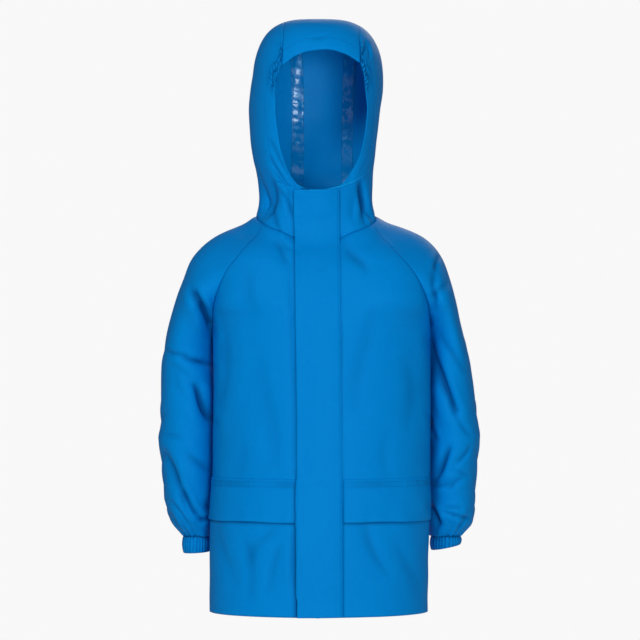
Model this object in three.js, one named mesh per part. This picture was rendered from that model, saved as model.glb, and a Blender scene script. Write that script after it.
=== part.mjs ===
import * as THREE from 'three';

// A child's raincoat that keeps its worn form with nobody in it.
// Millimetres, +Z up. The front faces -Y and +X is the wearer's left.
// The origin lies between the shoulders, at the height of the neck seam.

const clothWall = 1.2;        // coated cloth with its seam allowance
const seamGap = 0.32;         // between two pieces that are sewn edge to edge
const neckGap = 0.8;          // between the hood and the pieces that it is sewn to
const hemHeight = -541.5;     // at the centre of the front
const hemLift = 1;            // the hem rises this much towards the side seams
const hemRise = 60;           // and starts to rise this far above its edge
const zipHalf = 4;            // each front ends this far from the centre line
const flapHalf = 33;          // the storm flap's edges, free on the wearer's right and sewn on the left
const pocketStart = 34.5;     // the pockets start just outside the storm flap
const chinTop = 46;           // where the face opening starts above the zip
const cuffGathers = 28;       // waves round each cuff
const cuffGatherHeight = 1.6;
const cuffHeight = { right: [22, 24], left: [20, 12] };   // under the arm and at the outside
const cuffInset = 1;
const hoodGathers = 6;        // waves in the elastic at each upper corner of the face opening
const hoodGatherHeight = 1.7;
const hoodGatherReach = 3;    // columns of the hood's side that the waves run across
const headCentre = new THREE.Vector3(0, 5, 140);
const hoodRoundness = 2.3;    // exponent of the hood's level sections
const domeStart = 170;
const domeTop = 287;
const domeRoundness = 3.3;

const shellBlue = new THREE.MeshStandardMaterial({ color: 0x007fcb, roughness: 0.48, metalness: 0 });
const tapeBlue = new THREE.MeshStandardMaterial({ color: 0x2f6fa8, roughness: 0.2, metalness: 0 });
const zipBlue = new THREE.MeshStandardMaterial({ color: 0x0a62a4, roughness: 0.6, metalness: 0 });
const toothBlue = new THREE.MeshStandardMaterial({ color: 0x0b5a96, roughness: 0.35, metalness: 0 });

// Smooth monotone curve through the values at the keys.
function through(keys, values) {
  const order = keys.map((key, index) => index).sort((a, b) => keys[a] - keys[b]);
  const k = order.map((index) => keys[index]);
  const v = order.map((index) => values[index]);
  const last = k.length - 1;
  const slopes = k.slice(1).map((key, i) => (v[i + 1] - v[i]) / (key - k[i]));
  const tangents = k.map((key, i) => {
    if (i === 0) return slopes[0];
    if (i === last) return slopes[last - 1];
    if (slopes[i - 1] * slopes[i] <= 0) return 0;
    return (2 * slopes[i - 1] * slopes[i]) / (slopes[i - 1] + slopes[i]);
  });
  return (key) => {
    const at = Math.min(Math.max(key, k[0]), k[last]);
    let i = 0;
    while (i < last - 1 && at > k[i + 1]) i += 1;
    const span = k[i + 1] - k[i];
    const t = (at - k[i]) / span;
    const rise = v[i + 1] - v[i];
    const early = tangents[i] * span;
    const late = tangents[i + 1] * span;
    return v[i] + t * (early + t * (3 * rise - 2 * early - late + t * (early + late - 2 * rise)));
  };
}

// A short table with named columns: each column becomes a curve over the first one.
function curves(names, rows) {
  const keys = rows.map((row) => row[0]);
  const result = {};
  names.forEach((name, column) => {
    result[name] = through(keys, rows.map((row) => row[column]));
  });
  return result;
}

// Yoke, from the neck seam (0) to the underarm (1). Turns are in degrees from straight across.
const yokeColumns = ['down', 'centreY', 'centreZ', 'seamX', 'seamY', 'seamZ', 'panelTurn', 'sleeveTurn'];
const frontYoke = curves(yokeColumns, [
  [0.00, -62, -23, 73, -34, -3, 62, 62],
  [0.12, -72, -35, 88, -50, -18, 50, 50],
  [0.26, -82, -50, 102, -62, -32, 42, 42],
  [0.40, -90, -66, 115, -69, -47, 38, 38],
  [0.55, -96, -83, 129, -70, -65, 42, 30],
  [0.70, -101, -101, 139, -65, -86, 56, 0],
  [0.85, -104, -120, 147, -50, -110, 80, -45],
  [1.00, -106, -140, 151, -8, -140, 90, -68],
]);
const backYoke = curves(yokeColumns, [
  [0.00, 60, 13, 70, 34, 11, 62, 62],
  [0.12, 72, -4, 86, 54, -3, 50, 50],
  [0.26, 84, -22, 101, 68, -20, 42, 42],
  [0.40, 93, -42, 114, 75, -39, 38, 38],
  [0.55, 99, -64, 128, 77, -60, 42, 30],
  [0.70, 102, -88, 138, 72, -84, 56, 0],
  [0.85, 104, -113, 146, 54, -110, 78, -45],
  [1.00, 104, -140, 151, -8, -140, 90, -68],
]);
const shoulder = curves(['down', 'right', 'left', 'y', 'z', 'seamPull', 'topPull'], [
  [0.00, 82, 75, 4, 8, 42, 42],
  [0.12, 111, 112, 4, -2, 62, 70],
  [0.26, 141, 143, 5, -15, 80, 100],
  [0.40, 163, 163, 7, -31, 92, 118],
  [0.55, 180, 177, 9, -53, 98, 130],
  [0.70, 191, 186, 11, -81, 112, 145],
  [0.85, 201, 194, 13, -110, 135, 168],
  [1.00, 210, 200, 15, -140, 190, 190],
]);
// Below the underarm.
const torso = curves(['z', 'front', 'back', 'right', 'left', 'sideY'], [
  [-140, -106, 104, 147, 157, -8],
  [-200, -109, 102, 146, 157, -12],
  [-280, -109, 100, 146, 157, -12],
  [-370, -107, 101, 148, 156, -10],
  [-460, -106, 104, 150, 153, -8],
  [-550, -105, 107, 150.5, 151.5, -6],
]);
const sleeveColumns = ['z', 'outerRight', 'outerLeft', 'innerRight', 'innerLeft', 'middle', 'front', 'back'];
const sleeve = curves(sleeveColumns, [
  [-140, 210, 198, 147, 157, 4, -38, 58],
  [-165, 215, 207, 148, 158, 17, -34, 66],
  [-195, 220, 214, 148, 158, 23, -30, 74],
  [-235, 221, 220, 147, 157, 29, -26, 82],
  [-284, 223, 226, 147, 157, 34, -21, 88],
  [-301, 225, 228, 147, 157, 35, -20, 90],
  [-326, 221, 225, 147, 157, 37, -18, 91],
  [-377, 217, 222, 148, 157, 41, -12, 93],
  [-405, 212, 221, 149, 157, 43, -7, 92],
  [-420, 206, 218, 150, 158, 44, 0, 87],
  [-437, 191, 202, 152, 159, 45, 10, 79],
]);
const sleeveTop = -140;
const sleeveEnd = -437;
const underarmParting = 0.4;  // how far the sleeve leans out from the seam under the arm
const underarmFade = 90;

// Largest folds. Each runs from (a, z) to (a, z), and sinks by its depth over about its width each way.
// a is X seen from the front or back, and Y seen from the wearer's left or right.
const folds = [
  { face: 'front', from: [-168, -98], to: [-149, -150], depth: 6, width: 9 },
  { face: 'front', from: [-214, -172], to: [-150, -196], depth: 4, width: 10 },
  { face: 'front', from: [-165, -222], to: [-150, -275], depth: 5, width: 11 },
  { face: 'front', from: [-219, -320], to: [-158, -410], depth: 4.5, width: 10 },
  { face: 'front', from: [168, -42], to: [160, -100], depth: 5, width: 9 },
  { face: 'front', from: [157, -162], to: [186, -231], depth: 5, width: 10 },
  { face: 'front', from: [156, -268], to: [172, -300], depth: 4, width: 9 },
  { face: 'front', from: [221, -300], to: [160, -408], depth: 4.5, width: 10 },
  { face: 'front', from: [-58, -30], to: [-36, -50], depth: 2.5, width: 12 },
  { face: 'front', from: [48, -34], to: [62, -66], depth: 2.5, width: 12 },
  { face: 'front', from: [84, -424], to: [104, -484], depth: 2.5, width: 14 },
  { face: 'back', from: [-160, -110], to: [-128, -170], depth: 5, width: 12 },
  { face: 'back', from: [164, -105], to: [130, -176], depth: 5, width: 12 },
  { face: 'back', from: [-205, -230], to: [-160, -262], depth: 4.5, width: 11 },
  { face: 'back', from: [210, -248], to: [166, -276], depth: 4.5, width: 11 },
  { face: 'back', from: [-70, -130], to: [-40, -330], depth: 3, width: 22 },
  { face: 'back', from: [66, -150], to: [48, -380], depth: 3, width: 22 },
  { face: 'right', from: [-4, -262], to: [74, -300], depth: 2.5, width: 11 },
  { face: 'right', from: [6, -350], to: [78, -398], depth: 2.5, width: 11 },
  { face: 'left', from: [-2, -250], to: [70, -290], depth: 2.5, width: 11 },
  { face: 'left', from: [6, -345], to: [80, -402], depth: 2.5, width: 11 },
  { face: 'right', from: [-34, 8], to: [-50, 62], depth: 3.5, width: 9 },
  { face: 'left', from: [-32, 4], to: [-46, 52], depth: 4, width: 9 },
  { face: 'back', from: [-50, 46], to: [50, 40], depth: 3, width: 14 },
];
const faceAxes = {
  front: { across: 'x', facing: new THREE.Vector3(0, -1, 0) },
  back: { across: 'x', facing: new THREE.Vector3(0, 1, 0) },
  right: { across: 'y', facing: new THREE.Vector3(-1, 0, 0) },
  left: { across: 'y', facing: new THREE.Vector3(1, 0, 0) },
};

function foldDepth(point, normal) {
  let depth = 0;
  for (const fold of folds) {
    const axes = faceAxes[fold.face];
    const ownSide = axes.facing.x === 0 || point.x * axes.facing.x > 0;
    const turned = ownSide ? Math.max(0, normal.dot(axes.facing)) : 0;
    const [a0, z0] = fold.from;
    const run = [fold.to[0] - a0, fold.to[1] - z0];
    const off = [point[axes.across] - a0, point.z - z0];
    const along = (off[0] * run[0] + off[1] * run[1]) / (run[0] ** 2 + run[1] ** 2);
    const near = Math.min(Math.max(along, 0), 1);
    const distance = Math.hypot(off[0] - near * run[0], off[1] - near * run[1]);
    depth += fold.depth * Math.min(1, 1.6 * turned) * Math.exp(-((distance / fold.width) ** 2));
  }
  return depth;
}

// A cubic arc between two points, with the direction and pull at each end.
function arcPoint(start, startPull, end, endPull, t) {
  const s = 1 - t;
  return new THREE.Vector3()
    .addScaledVector(start, s * s * (1 + 2 * t))
    .addScaledVector(startPull, s * s * t)
    .addScaledVector(end, t * t * (3 - 2 * t))
    .addScaledVector(endPull, -s * t * t);
}

// The pull that makes a quarter turn round and leaves a straight run straight.
function roundPull(start, end, direction, otherDirection) {
  const likeness = direction.dot(otherDirection) / (direction.length() * otherDirection.length());
  const fullness = 1 + 0.75 * (1 - likeness);
  const reach = Math.abs(new THREE.Vector3().subVectors(end, start).dot(direction)) / direction.lengthSq();
  return direction.clone().multiplyScalar(fullness * reach);
}

// The body is a little wider on the wearer's left between the yoke and the pockets.
function spread(side, down) {
  return 1 + (side > 0 ? 0.04 : -0.026) * down;
}

// One row of the yoke on one side: the arcs of a panel and of the sleeve's half, front or back.
function yokeArcs(side, down, face) {
  const rows = face < 0 ? frontYoke : backYoke;
  const centre = new THREE.Vector3(0, rows.centreY(down), rows.centreZ(down));
  const seam = new THREE.Vector3(
    side * spread(side, down) * rows.seamX(down), rows.seamY(down), rows.seamZ(down));
  const reach = side > 0 ? shoulder.left(down) : shoulder.right(down);
  const tip = new THREE.Vector3(side * reach, shoulder.y(down), shoulder.z(down));
  const length = Math.abs(seam.x) + tip.distanceTo(seam);
  const slope = (tip.z - centre.z) / length;
  const turned = (degrees, rise) => {
    const angle = THREE.MathUtils.degToRad(degrees);
    return new THREE.Vector3(side * Math.cos(angle), -face * Math.sin(angle), rise);
  };
  const panelEnd = turned(rows.panelTurn(down), slope);
  const sleeveStart = turned(rows.sleeveTurn(down), slope);
  const across = new THREE.Vector3(side, 0, 0);
  return {
    panel: {
      start: centre, startPull: roundPull(centre, seam, across, panelEnd),
      end: seam, endPull: roundPull(centre, seam, panelEnd, across),
    },
    sleeve: {
      start: seam, startPull: sleeveStart.multiplyScalar(shoulder.seamPull(down)),
      end: tip, endPull: new THREE.Vector3(0, -face * shoulder.topPull(down), 0),
    },
  };
}

function hemShift(x, z) {
  const low = Math.max(0, (hemHeight + hemRise - z) / hemRise);
  return hemLift * low * low * (x / 150) ** 2;
}

function torsoArc(side, z, face) {
  const centre = new THREE.Vector3(0, face < 0 ? torso.front(z) : torso.back(z), z);
  const edge = new THREE.Vector3(side * (side > 0 ? torso.left(z) : torso.right(z)), torso.sideY(z), z);
  const across = new THREE.Vector3(side, 0, 0);
  const along = new THREE.Vector3(0, -face, 0);
  return {
    start: centre, startPull: roundPull(centre, edge, across, along),
    end: edge, endPull: roundPull(centre, edge, along, across),
  };
}

function onArc(arc, t) {
  const point = arcPoint(arc.start, arc.startPull, arc.end, arc.endPull, t);
  point.z += hemShift(point.x, point.z);
  return point;
}

// The place on an arc where it has gone out to a given distance from the centre line.
function stepAt(arc, distance) {
  let low = 0;
  let high = 1;
  for (let turn = 0; turn < 40; turn += 1) {
    const middle = (low + high) / 2;
    if (Math.abs(onArc(arc, middle).x) < distance) low = middle;
    else high = middle;
  }
  return (low + high) / 2;
}

function sleeveRing(side, z, t) {
  const inner = side * (side > 0 ? sleeve.innerLeft(z) : sleeve.innerRight(z));
  const outer = side * (side > 0 ? sleeve.outerLeft(z) : sleeve.outerRight(z));
  const start = new THREE.Vector3(inner, sleeve.middle(z), z);
  const end = new THREE.Vector3(outer, sleeve.middle(z), z);
  const forward = t < 0.5;
  const bulge = 4 * Math.abs((forward ? sleeve.front(z) : sleeve.back(z)) - sleeve.middle(z));
  const half = forward ? 2 * t : 2 - 2 * t;
  const parted = underarmParting * Math.max(0, 1 - (sleeveTop - z) / underarmFade);
  const pull = new THREE.Vector3(side * parted * bulge, forward ? -bulge : bulge, 0);
  return arcPoint(start, pull, end, new THREE.Vector3(0, forward ? bulge : -bulge, 0), half);
}

const yokeSteps = [0, 0.09, 0.18, 0.28, 0.39, 0.5, 0.61, 0.71, 0.8, 0.88, 0.95];
const torsoLevels = [-140, -160, -188, -220, -256, -294, -325, -353, -363, -381, -396, -410,
  -444, -478, -512, hemHeight];
const sleeveLevels = [-140, -156, -176, -198, -222, -247, -272, -298, -324, -350, -376, -400,
  -418, -430, sleeveEnd + seamGap / 2];
const pocketRow = { seam: -353, stitch: -363, mouth: -381, edge: -410 };

// A welded surface whose panels share their edge points and so their edge directions.
class Skin {
  constructor() {
    this.points = [];
    this.seen = new Map();
    this.panels = {};
    this.fixedNormals = new Map();
    this.raised = new Map();
  }

  index(point) {
    const key = [point.x, point.y, point.z].map((value) => Math.round(value * 500)).join(' ');
    if (!this.seen.has(key)) {
      this.seen.set(key, this.points.length);
      this.points.push(point.clone());
    }
    return this.seen.get(key);
  }

  addPanel(name, rows) {
    const grid = rows.map((row) => row.map((point) => this.index(point)));
    this.panels[name] = { grid, faces: gridFaces(grid, (index) => this.points[index]) };
  }

  // Folds change which diagonal is the shorter one.
  recutFaces() {
    for (const panel of Object.values(this.panels)) {
      panel.faces = gridFaces(panel.grid, (index) => this.points[index]);
    }
  }

  finish() {
    this.normals = this.points.map(() => new THREE.Vector3());
    for (const panel of Object.values(this.panels)) {
      for (const face of panel.faces) {
        const normal = faceNormal(face.map((index) => this.points[index]));
        face.forEach((index) => this.normals[index].add(normal));
      }
    }
    this.normals.forEach((normal) => normal.normalize());
    this.fixedNormals.forEach((normal, index) => this.normals[index].copy(normal));
    this.points.forEach((point, index) => {
      point.addScaledVector(this.normals[index], -foldDepth(point, this.normals[index]));
    });
    this.recutFaces();
  }

  at(name, row, column) {
    const index = this.panels[name].grid[row][column];
    return { point: this.points[index], normal: this.normals[index] };
  }
}

function faceNormal([a, b, c]) {
  return new THREE.Vector3().crossVectors(
    new THREE.Vector3().subVectors(b, a), new THREE.Vector3().subVectors(c, a));
}

// Two triangles for each cell of a grid, cut along its shorter diagonal.
function gridFaces(grid, pointOf) {
  const faces = [];
  for (let row = 0; row < grid.length - 1; row += 1) {
    for (let column = 0; column < grid[row].length - 1; column += 1) {
      const a = grid[row][column];
      const b = grid[row + 1][column];
      const c = grid[row + 1][column + 1];
      const d = grid[row][column + 1];
      const falling = pointOf(a).distanceTo(pointOf(c)) <= pointOf(b).distanceTo(pointOf(d));
      const cell = falling ? [[a, b, c], [a, c, d]] : [[a, b, d], [b, c, d]];
      cell.filter((face) => new Set(face).size === 3).forEach((face) => faces.push(face));
    }
  }
  return faces;
}

function openEdges(faces) {
  const directed = new Map();
  for (const face of faces) {
    face.forEach((from, corner) => {
      directed.set(`${from} ${face[(corner + 1) % 3]}`, { from, to: face[(corner + 1) % 3], face });
    });
  }
  return [...directed.values()].filter((edge) => !directed.has(`${edge.to} ${edge.from}`));
}

// Joins an outer and an inner surface of the same faces with a rim round every open edge.
function closedWall(name, outer, inner, faces, material) {
  const count = outer.length;
  const index = [];
  for (const [a, b, c] of faces) index.push(a, b, c, count + a, count + c, count + b);
  for (const { from, to } of openEdges(faces)) {
    index.push(to, from, count + from, to, count + from, count + to);
  }
  const geometry = new THREE.BufferGeometry();
  const places = [...outer, ...inner].flatMap((point) => point.toArray());
  geometry.setAttribute('position', new THREE.Float32BufferAttribute(places, 3));
  geometry.setIndex(index);
  geometry.computeVertexNormals();
  const mesh = new THREE.Mesh(geometry, material);
  mesh.name = name;
  return mesh;
}

// One cloth panel of a skin: its edges drawn back by half the seam gap, then given its wall.
function panelWall(skin, panelName, nodeName, material = shellBlue) {
  const panel = skin.panels[panelName];
  const used = [...new Set(panel.faces.flat())];
  const local = new Map(used.map((index, place) => [index, place]));
  const faces = panel.faces.map((face) => face.map((index) => local.get(index)));
  const points = used.map((index) => skin.points[index]);
  const drawn = points.map(() => []);
  for (const { from, to, face } of openEdges(faces)) {
    const normal = faceNormal(face.map((index) => points[index])).normalize();
    const edge = new THREE.Vector3().subVectors(points[to], points[from]).normalize();
    const inward = new THREE.Vector3().crossVectors(normal, edge);
    drawn[from].push(inward);
    drawn[to].push(inward);
  }
  const outer = points.map((point, place) => {
    if (drawn[place].length === 0) return point.clone();
    const inward = drawn[place].reduce((total, way) => total.add(way), new THREE.Vector3());
    inward.projectOnPlane(skin.normals[used[place]]).normalize();
    const gap = skin.fixedNormals.has(used[place]) ? neckGap : seamGap;
    return point.clone().addScaledVector(inward, gap / 2);
  });
  const inner = outer.map((point, place) => (
    point.clone().addScaledVector(skin.normals[used[place]], -clothWall)));
  outer.forEach((point, place) => {
    point.addScaledVector(skin.normals[used[place]], skin.raised.get(used[place]) ?? 0);
  });
  return closedWall(nodeName, outer, inner, faces, material);
}

// A piece that lies on a panel: rows of that panel's points, moved out along their directions.
function layer(name, rows, material) {
  const places = rows.flat();
  const outer = places.map(({ point, normal, far }) => point.clone().addScaledVector(normal, far));
  const inner = places.map(({ point, normal, near }) => point.clone().addScaledVector(normal, near));
  const width = rows[0].length;
  const grid = rows.map((row, r) => row.map((item, c) => r * width + c));
  return closedWall(name, outer, inner, gridFaces(grid, (index) => places[index].point), material);
}

// The body: two fronts, a back and two raglan sleeves.
function panelSteps(arc, evenColumns) {
  const placed = [zipHalf, 18, flapHalf, pocketStart].map((distance) => stepAt(arc, distance));
  const start = placed[3];
  for (let column = 1; column <= evenColumns; column += 1) {
    placed.push(start + (1 - start) * column / evenColumns);
  }
  return placed;
}

function bodyRows(side, face) {
  return [
    ...yokeSteps.map((down) => yokeArcs(side, down, face).panel),
    ...torsoLevels.map((z) => torsoArc(side, z, face)),
  ];
}

function orient(side, rows) {
  return side > 0 ? rows : rows.map((row) => [...row].reverse());
}

function buildBody() {
  const skin = new Skin();
  const halfColumns = 7;
  for (const side of [-1, 1]) {
    const name = side > 0 ? 'left' : 'right';
    const front = bodyRows(side, -1).map((arc) => panelSteps(arc, 6).map((t) => onArc(arc, t)));
    skin.addPanel(`front_${name}`, orient(side, front));
    const steps = Array.from({ length: halfColumns + 1 }, (item, index) => index / halfColumns);
    const yoke = yokeSteps.map((down) => {
      const frontArc = yokeArcs(side, down, -1).sleeve;
      const backArc = yokeArcs(side, down, 1).sleeve;
      const ahead = steps.map((t) => onArc(frontArc, t));
      const behind = steps.slice(0, -1).reverse().map((t) => onArc(backArc, t));
      return [...ahead, ...behind];
    });
    const ringSides = 2 * halfColumns;
    const ringSteps = Array.from({ length: ringSides + 1 }, (item, index) => index / ringSides);
    const rings = sleeveLevels.map((z, row) => ringSteps.map((t) => {
      const point = sleeveRing(side, z, t);
      if (row === 0 && (t === 0 || t === 1)) point.copy(onArc(torsoArc(side, z, -1), 1));
      return point;
    }));
    skin.addPanel(`sleeve_${name}`, orient(side, [...yoke, ...rings]));
  }
  const backColumns = Array.from({ length: 9 }, (item, index) => index / 8);
  const right = bodyRows(-1, 1);
  const back = bodyRows(1, 1).map((arc, row) => [
    ...backColumns.slice(1).reverse().map((t) => onArc(arc, t)),
    ...backColumns.map((t) => onArc(right[row], t)),
  ]);
  skin.addPanel('back', back);
  for (const name of Object.keys(skin.panels)) {
    for (const index of skin.panels[name].grid[0]) {
      const { x, y } = skin.points[index];
      skin.fixedNormals.set(index, new THREE.Vector3(x, y, 0).normalize());
    }
  }
  for (const side of [-1, 1]) {
    const underarm = skin.index(onArc(torsoArc(side, torsoLevels[0], -1), 1));
    skin.fixedNormals.set(underarm, new THREE.Vector3(0, 0, -1));
  }
  skin.finish();
  return skin;
}

// The hood's outer form: level sections with a rounded dome above.
const hoodSection = curves(['z', 'right', 'left', 'front', 'back'], [
  [-24, 84, 78, -62, 60],
  [0, 80, 74, -62, 60],
  [18, 71, 65, -65, 61],
  [32, 67, 62, -68, 64],
  [46, 72, 66, -72, 69],
  [62, 80, 73, -76, 76],
  [90, 90, 79, -81, 91],
  [125, 95, 83, -88, 103],
  [160, 97, 87, -94, 108],
  [190, 95, 91, -97, 108],
  [215, 92, 92, -99, 106],
  [290, 91, 91, -99, 104],
]);

function hoodMeasure(point) {
  if (point.z >= domeTop) return 2;
  const shrink = point.z <= domeStart ? 1
    : (1 - ((point.z - domeStart) / (domeTop - domeStart)) ** domeRoundness) ** (1 / domeRoundness);
  const right = hoodSection.right(point.z);
  const left = hoodSection.left(point.z);
  const front = hoodSection.front(point.z);
  const back = hoodSection.back(point.z);
  const across = Math.abs(point.x - (left - right) / 2) / ((left + right) / 2 * shrink + 1e-6);
  const along = Math.abs(point.y - (front + back) / 2) / ((back - front) / 2 * shrink + 1e-6);
  return across ** hoodRoundness + along ** hoodRoundness;
}

function plainHoodRadius(direction) {
  let low = 0;
  let high = 400;
  for (let turn = 0; turn < 36; turn += 1) {
    const middle = (low + high) / 2;
    const point = headCentre.clone().addScaledVector(direction, middle);
    if (hoodMeasure(point) < 1) low = middle;
    else high = middle;
  }
  return (low + high) / 2;
}

function azimuthOf(direction) {
  return Math.atan2(direction.x, -direction.y);
}

function elevationOf(direction) {
  return Math.atan2(direction.z, Math.hypot(direction.x, direction.y));
}

function directionTo(point) {
  return new THREE.Vector3().subVectors(point, headCentre).normalize();
}

// A point of the neck seam: quarters are front and back panels and the sleeves between them.
function neckPoint(side, part, t) {
  const arcs = yokeArcs(side, 0, part.startsWith('front') ? -1 : 1);
  return onArc(part.endsWith('Panel') ? arcs.panel : arcs.sleeve, t);
}

function neckHalf(side, count) {
  const dense = [];
  const parts = [['frontPanel', 0], ['frontSleeve', 0], ['backSleeve', 1], ['backPanel', 1]];
  for (const [part, reversed] of parts) {
    for (let step = 0; step < count; step += 1) {
      dense.push(neckPoint(side, part, reversed ? 1 - step / count : step / count));
    }
  }
  dense.push(neckPoint(side, 'backPanel', 0));
  return dense;
}

// How far the plain form is stretched at the neck so that it meets the neck seam.
const neckFade = THREE.MathUtils.degToRad(26);
const neckFit = {};
for (const side of [-1, 1]) {
  const points = neckHalf(side, 14);
  const directions = points.map(directionTo);
  const azimuths = directions.map((direction) => Math.abs(azimuthOf(direction)));
  azimuths[azimuths.length - 1] = Math.PI;
  neckFit[side] = {
    elevation: through(azimuths, directions.map(elevationOf)),
    stretch: through(azimuths, points.map((point, index) => (
      point.distanceTo(headCentre) / plainHoodRadius(directions[index])))),
  };
}

function hoodPoint(direction) {
  const fit = neckFit[direction.x < 0 ? -1 : 1];
  const azimuth = Math.abs(azimuthOf(direction));
  const above = (elevationOf(direction) - fit.elevation(azimuth)) / neckFade;
  const fade = Math.min(1, Math.max(0, 1 - above)) ** 2;
  const radius = plainHoodRadius(direction) * (1 + (fit.stretch(azimuth) - 1) * fade);
  return headCentre.clone().addScaledVector(direction, radius);
}

// The hood's surface at the front, at a place seen from the front.
function hoodFront(x, z) {
  let low = -150;
  let high = 0;
  for (let turn = 0; turn < 30; turn += 1) {
    const middle = (low + high) / 2;
    const point = new THREE.Vector3(x, middle, z);
    const surface = hoodPoint(directionTo(point));
    if (point.distanceTo(headCentre) > surface.distanceTo(headCentre)) low = middle;
    else high = middle;
  }
  return new THREE.Vector3(x, (low + high) / 2, z);
}

// Edge of the face opening, from the chin to the brim's corner, and the brim from right to left.
const openingEdge = {
  right: [
    [-4, chinTop + 1], [-15.7, 48.6], [-28.5, 54.5], [-44.2, 79], [-54, 115.4], [-58.9, 159.5], [-57.9, 186],
  ],
  left: [
    [4, chinTop + 1], [18.7, 47.6], [31.4, 53.5], [45.2, 70.2], [59.9, 98.7], [66.8, 135], [68.7, 159.5],
    [64.8, 186],
  ],
};
const gatheredEdge = {
  right: [[-57.9, 186], [-56, 201.7], [-49.1, 217.4]],
  left: [[64.8, 186], [62.8, 203.7], [57.9, 221.4]],
};
const brimEdge = [[-49.1, 217.4], [-31.4, 230.2], [-10.8, 237.1], [12.8, 239], [37.3, 233.2], [57.9, 221.4]];

// Half-way down to the neck the centre panel grows narrower: its seams, seen from behind.
const centreSeam = curves(['along', 'right', 'left'], [
  [0, 50, 59], [0.15, 47, 56], [0.3, 38, 50], [0.45, 31, 45], [0.6, 29, 43], [0.8, 29, 42], [1, 30, 42],
]);

function evenly(points, count) {
  const travelled = [0];
  points.slice(1).forEach((point, index) => {
    travelled.push(travelled[index] + point.distanceTo(points[index]));
  });
  const total = travelled[travelled.length - 1];
  const axes = ['x', 'y', 'z'].map((axis) => through(travelled, points.map((point) => point[axis])));
  return Array.from({ length: count + 1 }, (item, index) => (
    new THREE.Vector3(...axes.map((axis) => axis(total * index / count)))));
}

function onHoodFront(points) {
  return points.map((point) => hoodFront(point.x, point.z));
}

function flatPoints(pairs) {
  return pairs.map(([x, z]) => new THREE.Vector3(x, 0, z));
}

function neckAt(side, distance) {
  let low = 0;
  let high = 1;
  for (let turn = 0; turn < 40; turn += 1) {
    const middle = (low + high) / 2;
    if (Math.abs(neckPoint(side, 'backPanel', middle).x) < distance) low = middle;
    else high = middle;
  }
  return neckPoint(side, 'backPanel', (low + high) / 2);
}

function hoodSeam(side, corner, count) {
  const name = side > 0 ? 'left' : 'right';
  const end = neckAt(side, centreSeam[name](1));
  const angleOf = (point) => Math.atan2(point.z - headCentre.z, point.y - headCentre.y);
  const angles = [angleOf(corner), angleOf(end)];
  const row = [corner];
  for (let step = 1; step < count; step += 1) {
    const along = step / count;
    const angle = angles[0] + (angles[1] - angles[0]) * along;
    const x = side * centreSeam[name](along);
    let low = 0;
    let high = 300;
    for (let turn = 0; turn < 36; turn += 1) {
      const middle = (low + high) / 2;
      const point = new THREE.Vector3(
        x, headCentre.y + middle * Math.cos(angle), headCentre.z + middle * Math.sin(angle));
      const surface = hoodPoint(directionTo(point));
      if (point.distanceTo(headCentre) < surface.distanceTo(headCentre)) low = middle;
      else high = middle;
    }
    const y = headCentre.y + low * Math.cos(angle);
    const z = headCentre.z + low * Math.sin(angle);
    row.push(new THREE.Vector3(x, y, z));
  }
  row.push(end);
  return row;
}

// Fills a four-sided patch of directions from its edges and lays it on the hood.
function hoodPatch(bottom, top, front, rear, chart) {
  const across = bottom.length - 1;
  const up = front.length - 1;
  const flat = (points) => points.map((point) => chart.read(directionTo(point)));
  const [low, high, fore, aft] = [bottom, top, front, rear].map(flat);
  const rows = [];
  for (let j = 0; j <= up; j += 1) {
    const t = j / up;
    const row = [];
    for (let i = 0; i <= across; i += 1) {
      const s = i / across;
      const angles = [0, 1].map((axis) => (
        (1 - t) * low[i][axis] + t * high[i][axis] + (1 - s) * fore[j][axis] + s * aft[j][axis]
        - (1 - t) * ((1 - s) * low[0][axis] + s * low[across][axis])
        - t * ((1 - s) * high[0][axis] + s * high[across][axis])));
      if (j === 0) row.push(bottom[i].clone());
      else if (j === up) row.push(top[i].clone());
      else if (i === 0) row.push(front[j].clone());
      else if (i === across) row.push(rear[j].clone());
      else row.push(hoodPoint(chart.write(angles)));
    }
    rows.push(row);
  }
  return rows;
}

// Sides are read round the vertical axis, the centre panel over the crown.
const sideChart = {
  read: (way) => [Math.abs(azimuthOf(way)), elevationOf(way)],
  write: (side) => ([azimuth, elevation]) => new THREE.Vector3(
    side * Math.cos(elevation) * Math.sin(azimuth),
    -Math.cos(elevation) * Math.cos(azimuth),
    Math.sin(elevation)),
};
const crownChart = {
  read: (way) => [Math.atan2(way.z, way.y), Math.atan2(way.x, Math.hypot(way.y, way.z))],
  write: ([over, across]) => new THREE.Vector3(
    Math.sin(across), Math.cos(across) * Math.cos(over), Math.cos(across) * Math.sin(over)),
};

const hoodGrid = {
  neckColumns: 12, shoulderColumn: 7, zipRows: 3, openingRows: 8, crownSteps: 8, brimColumns: 6,
};

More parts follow.
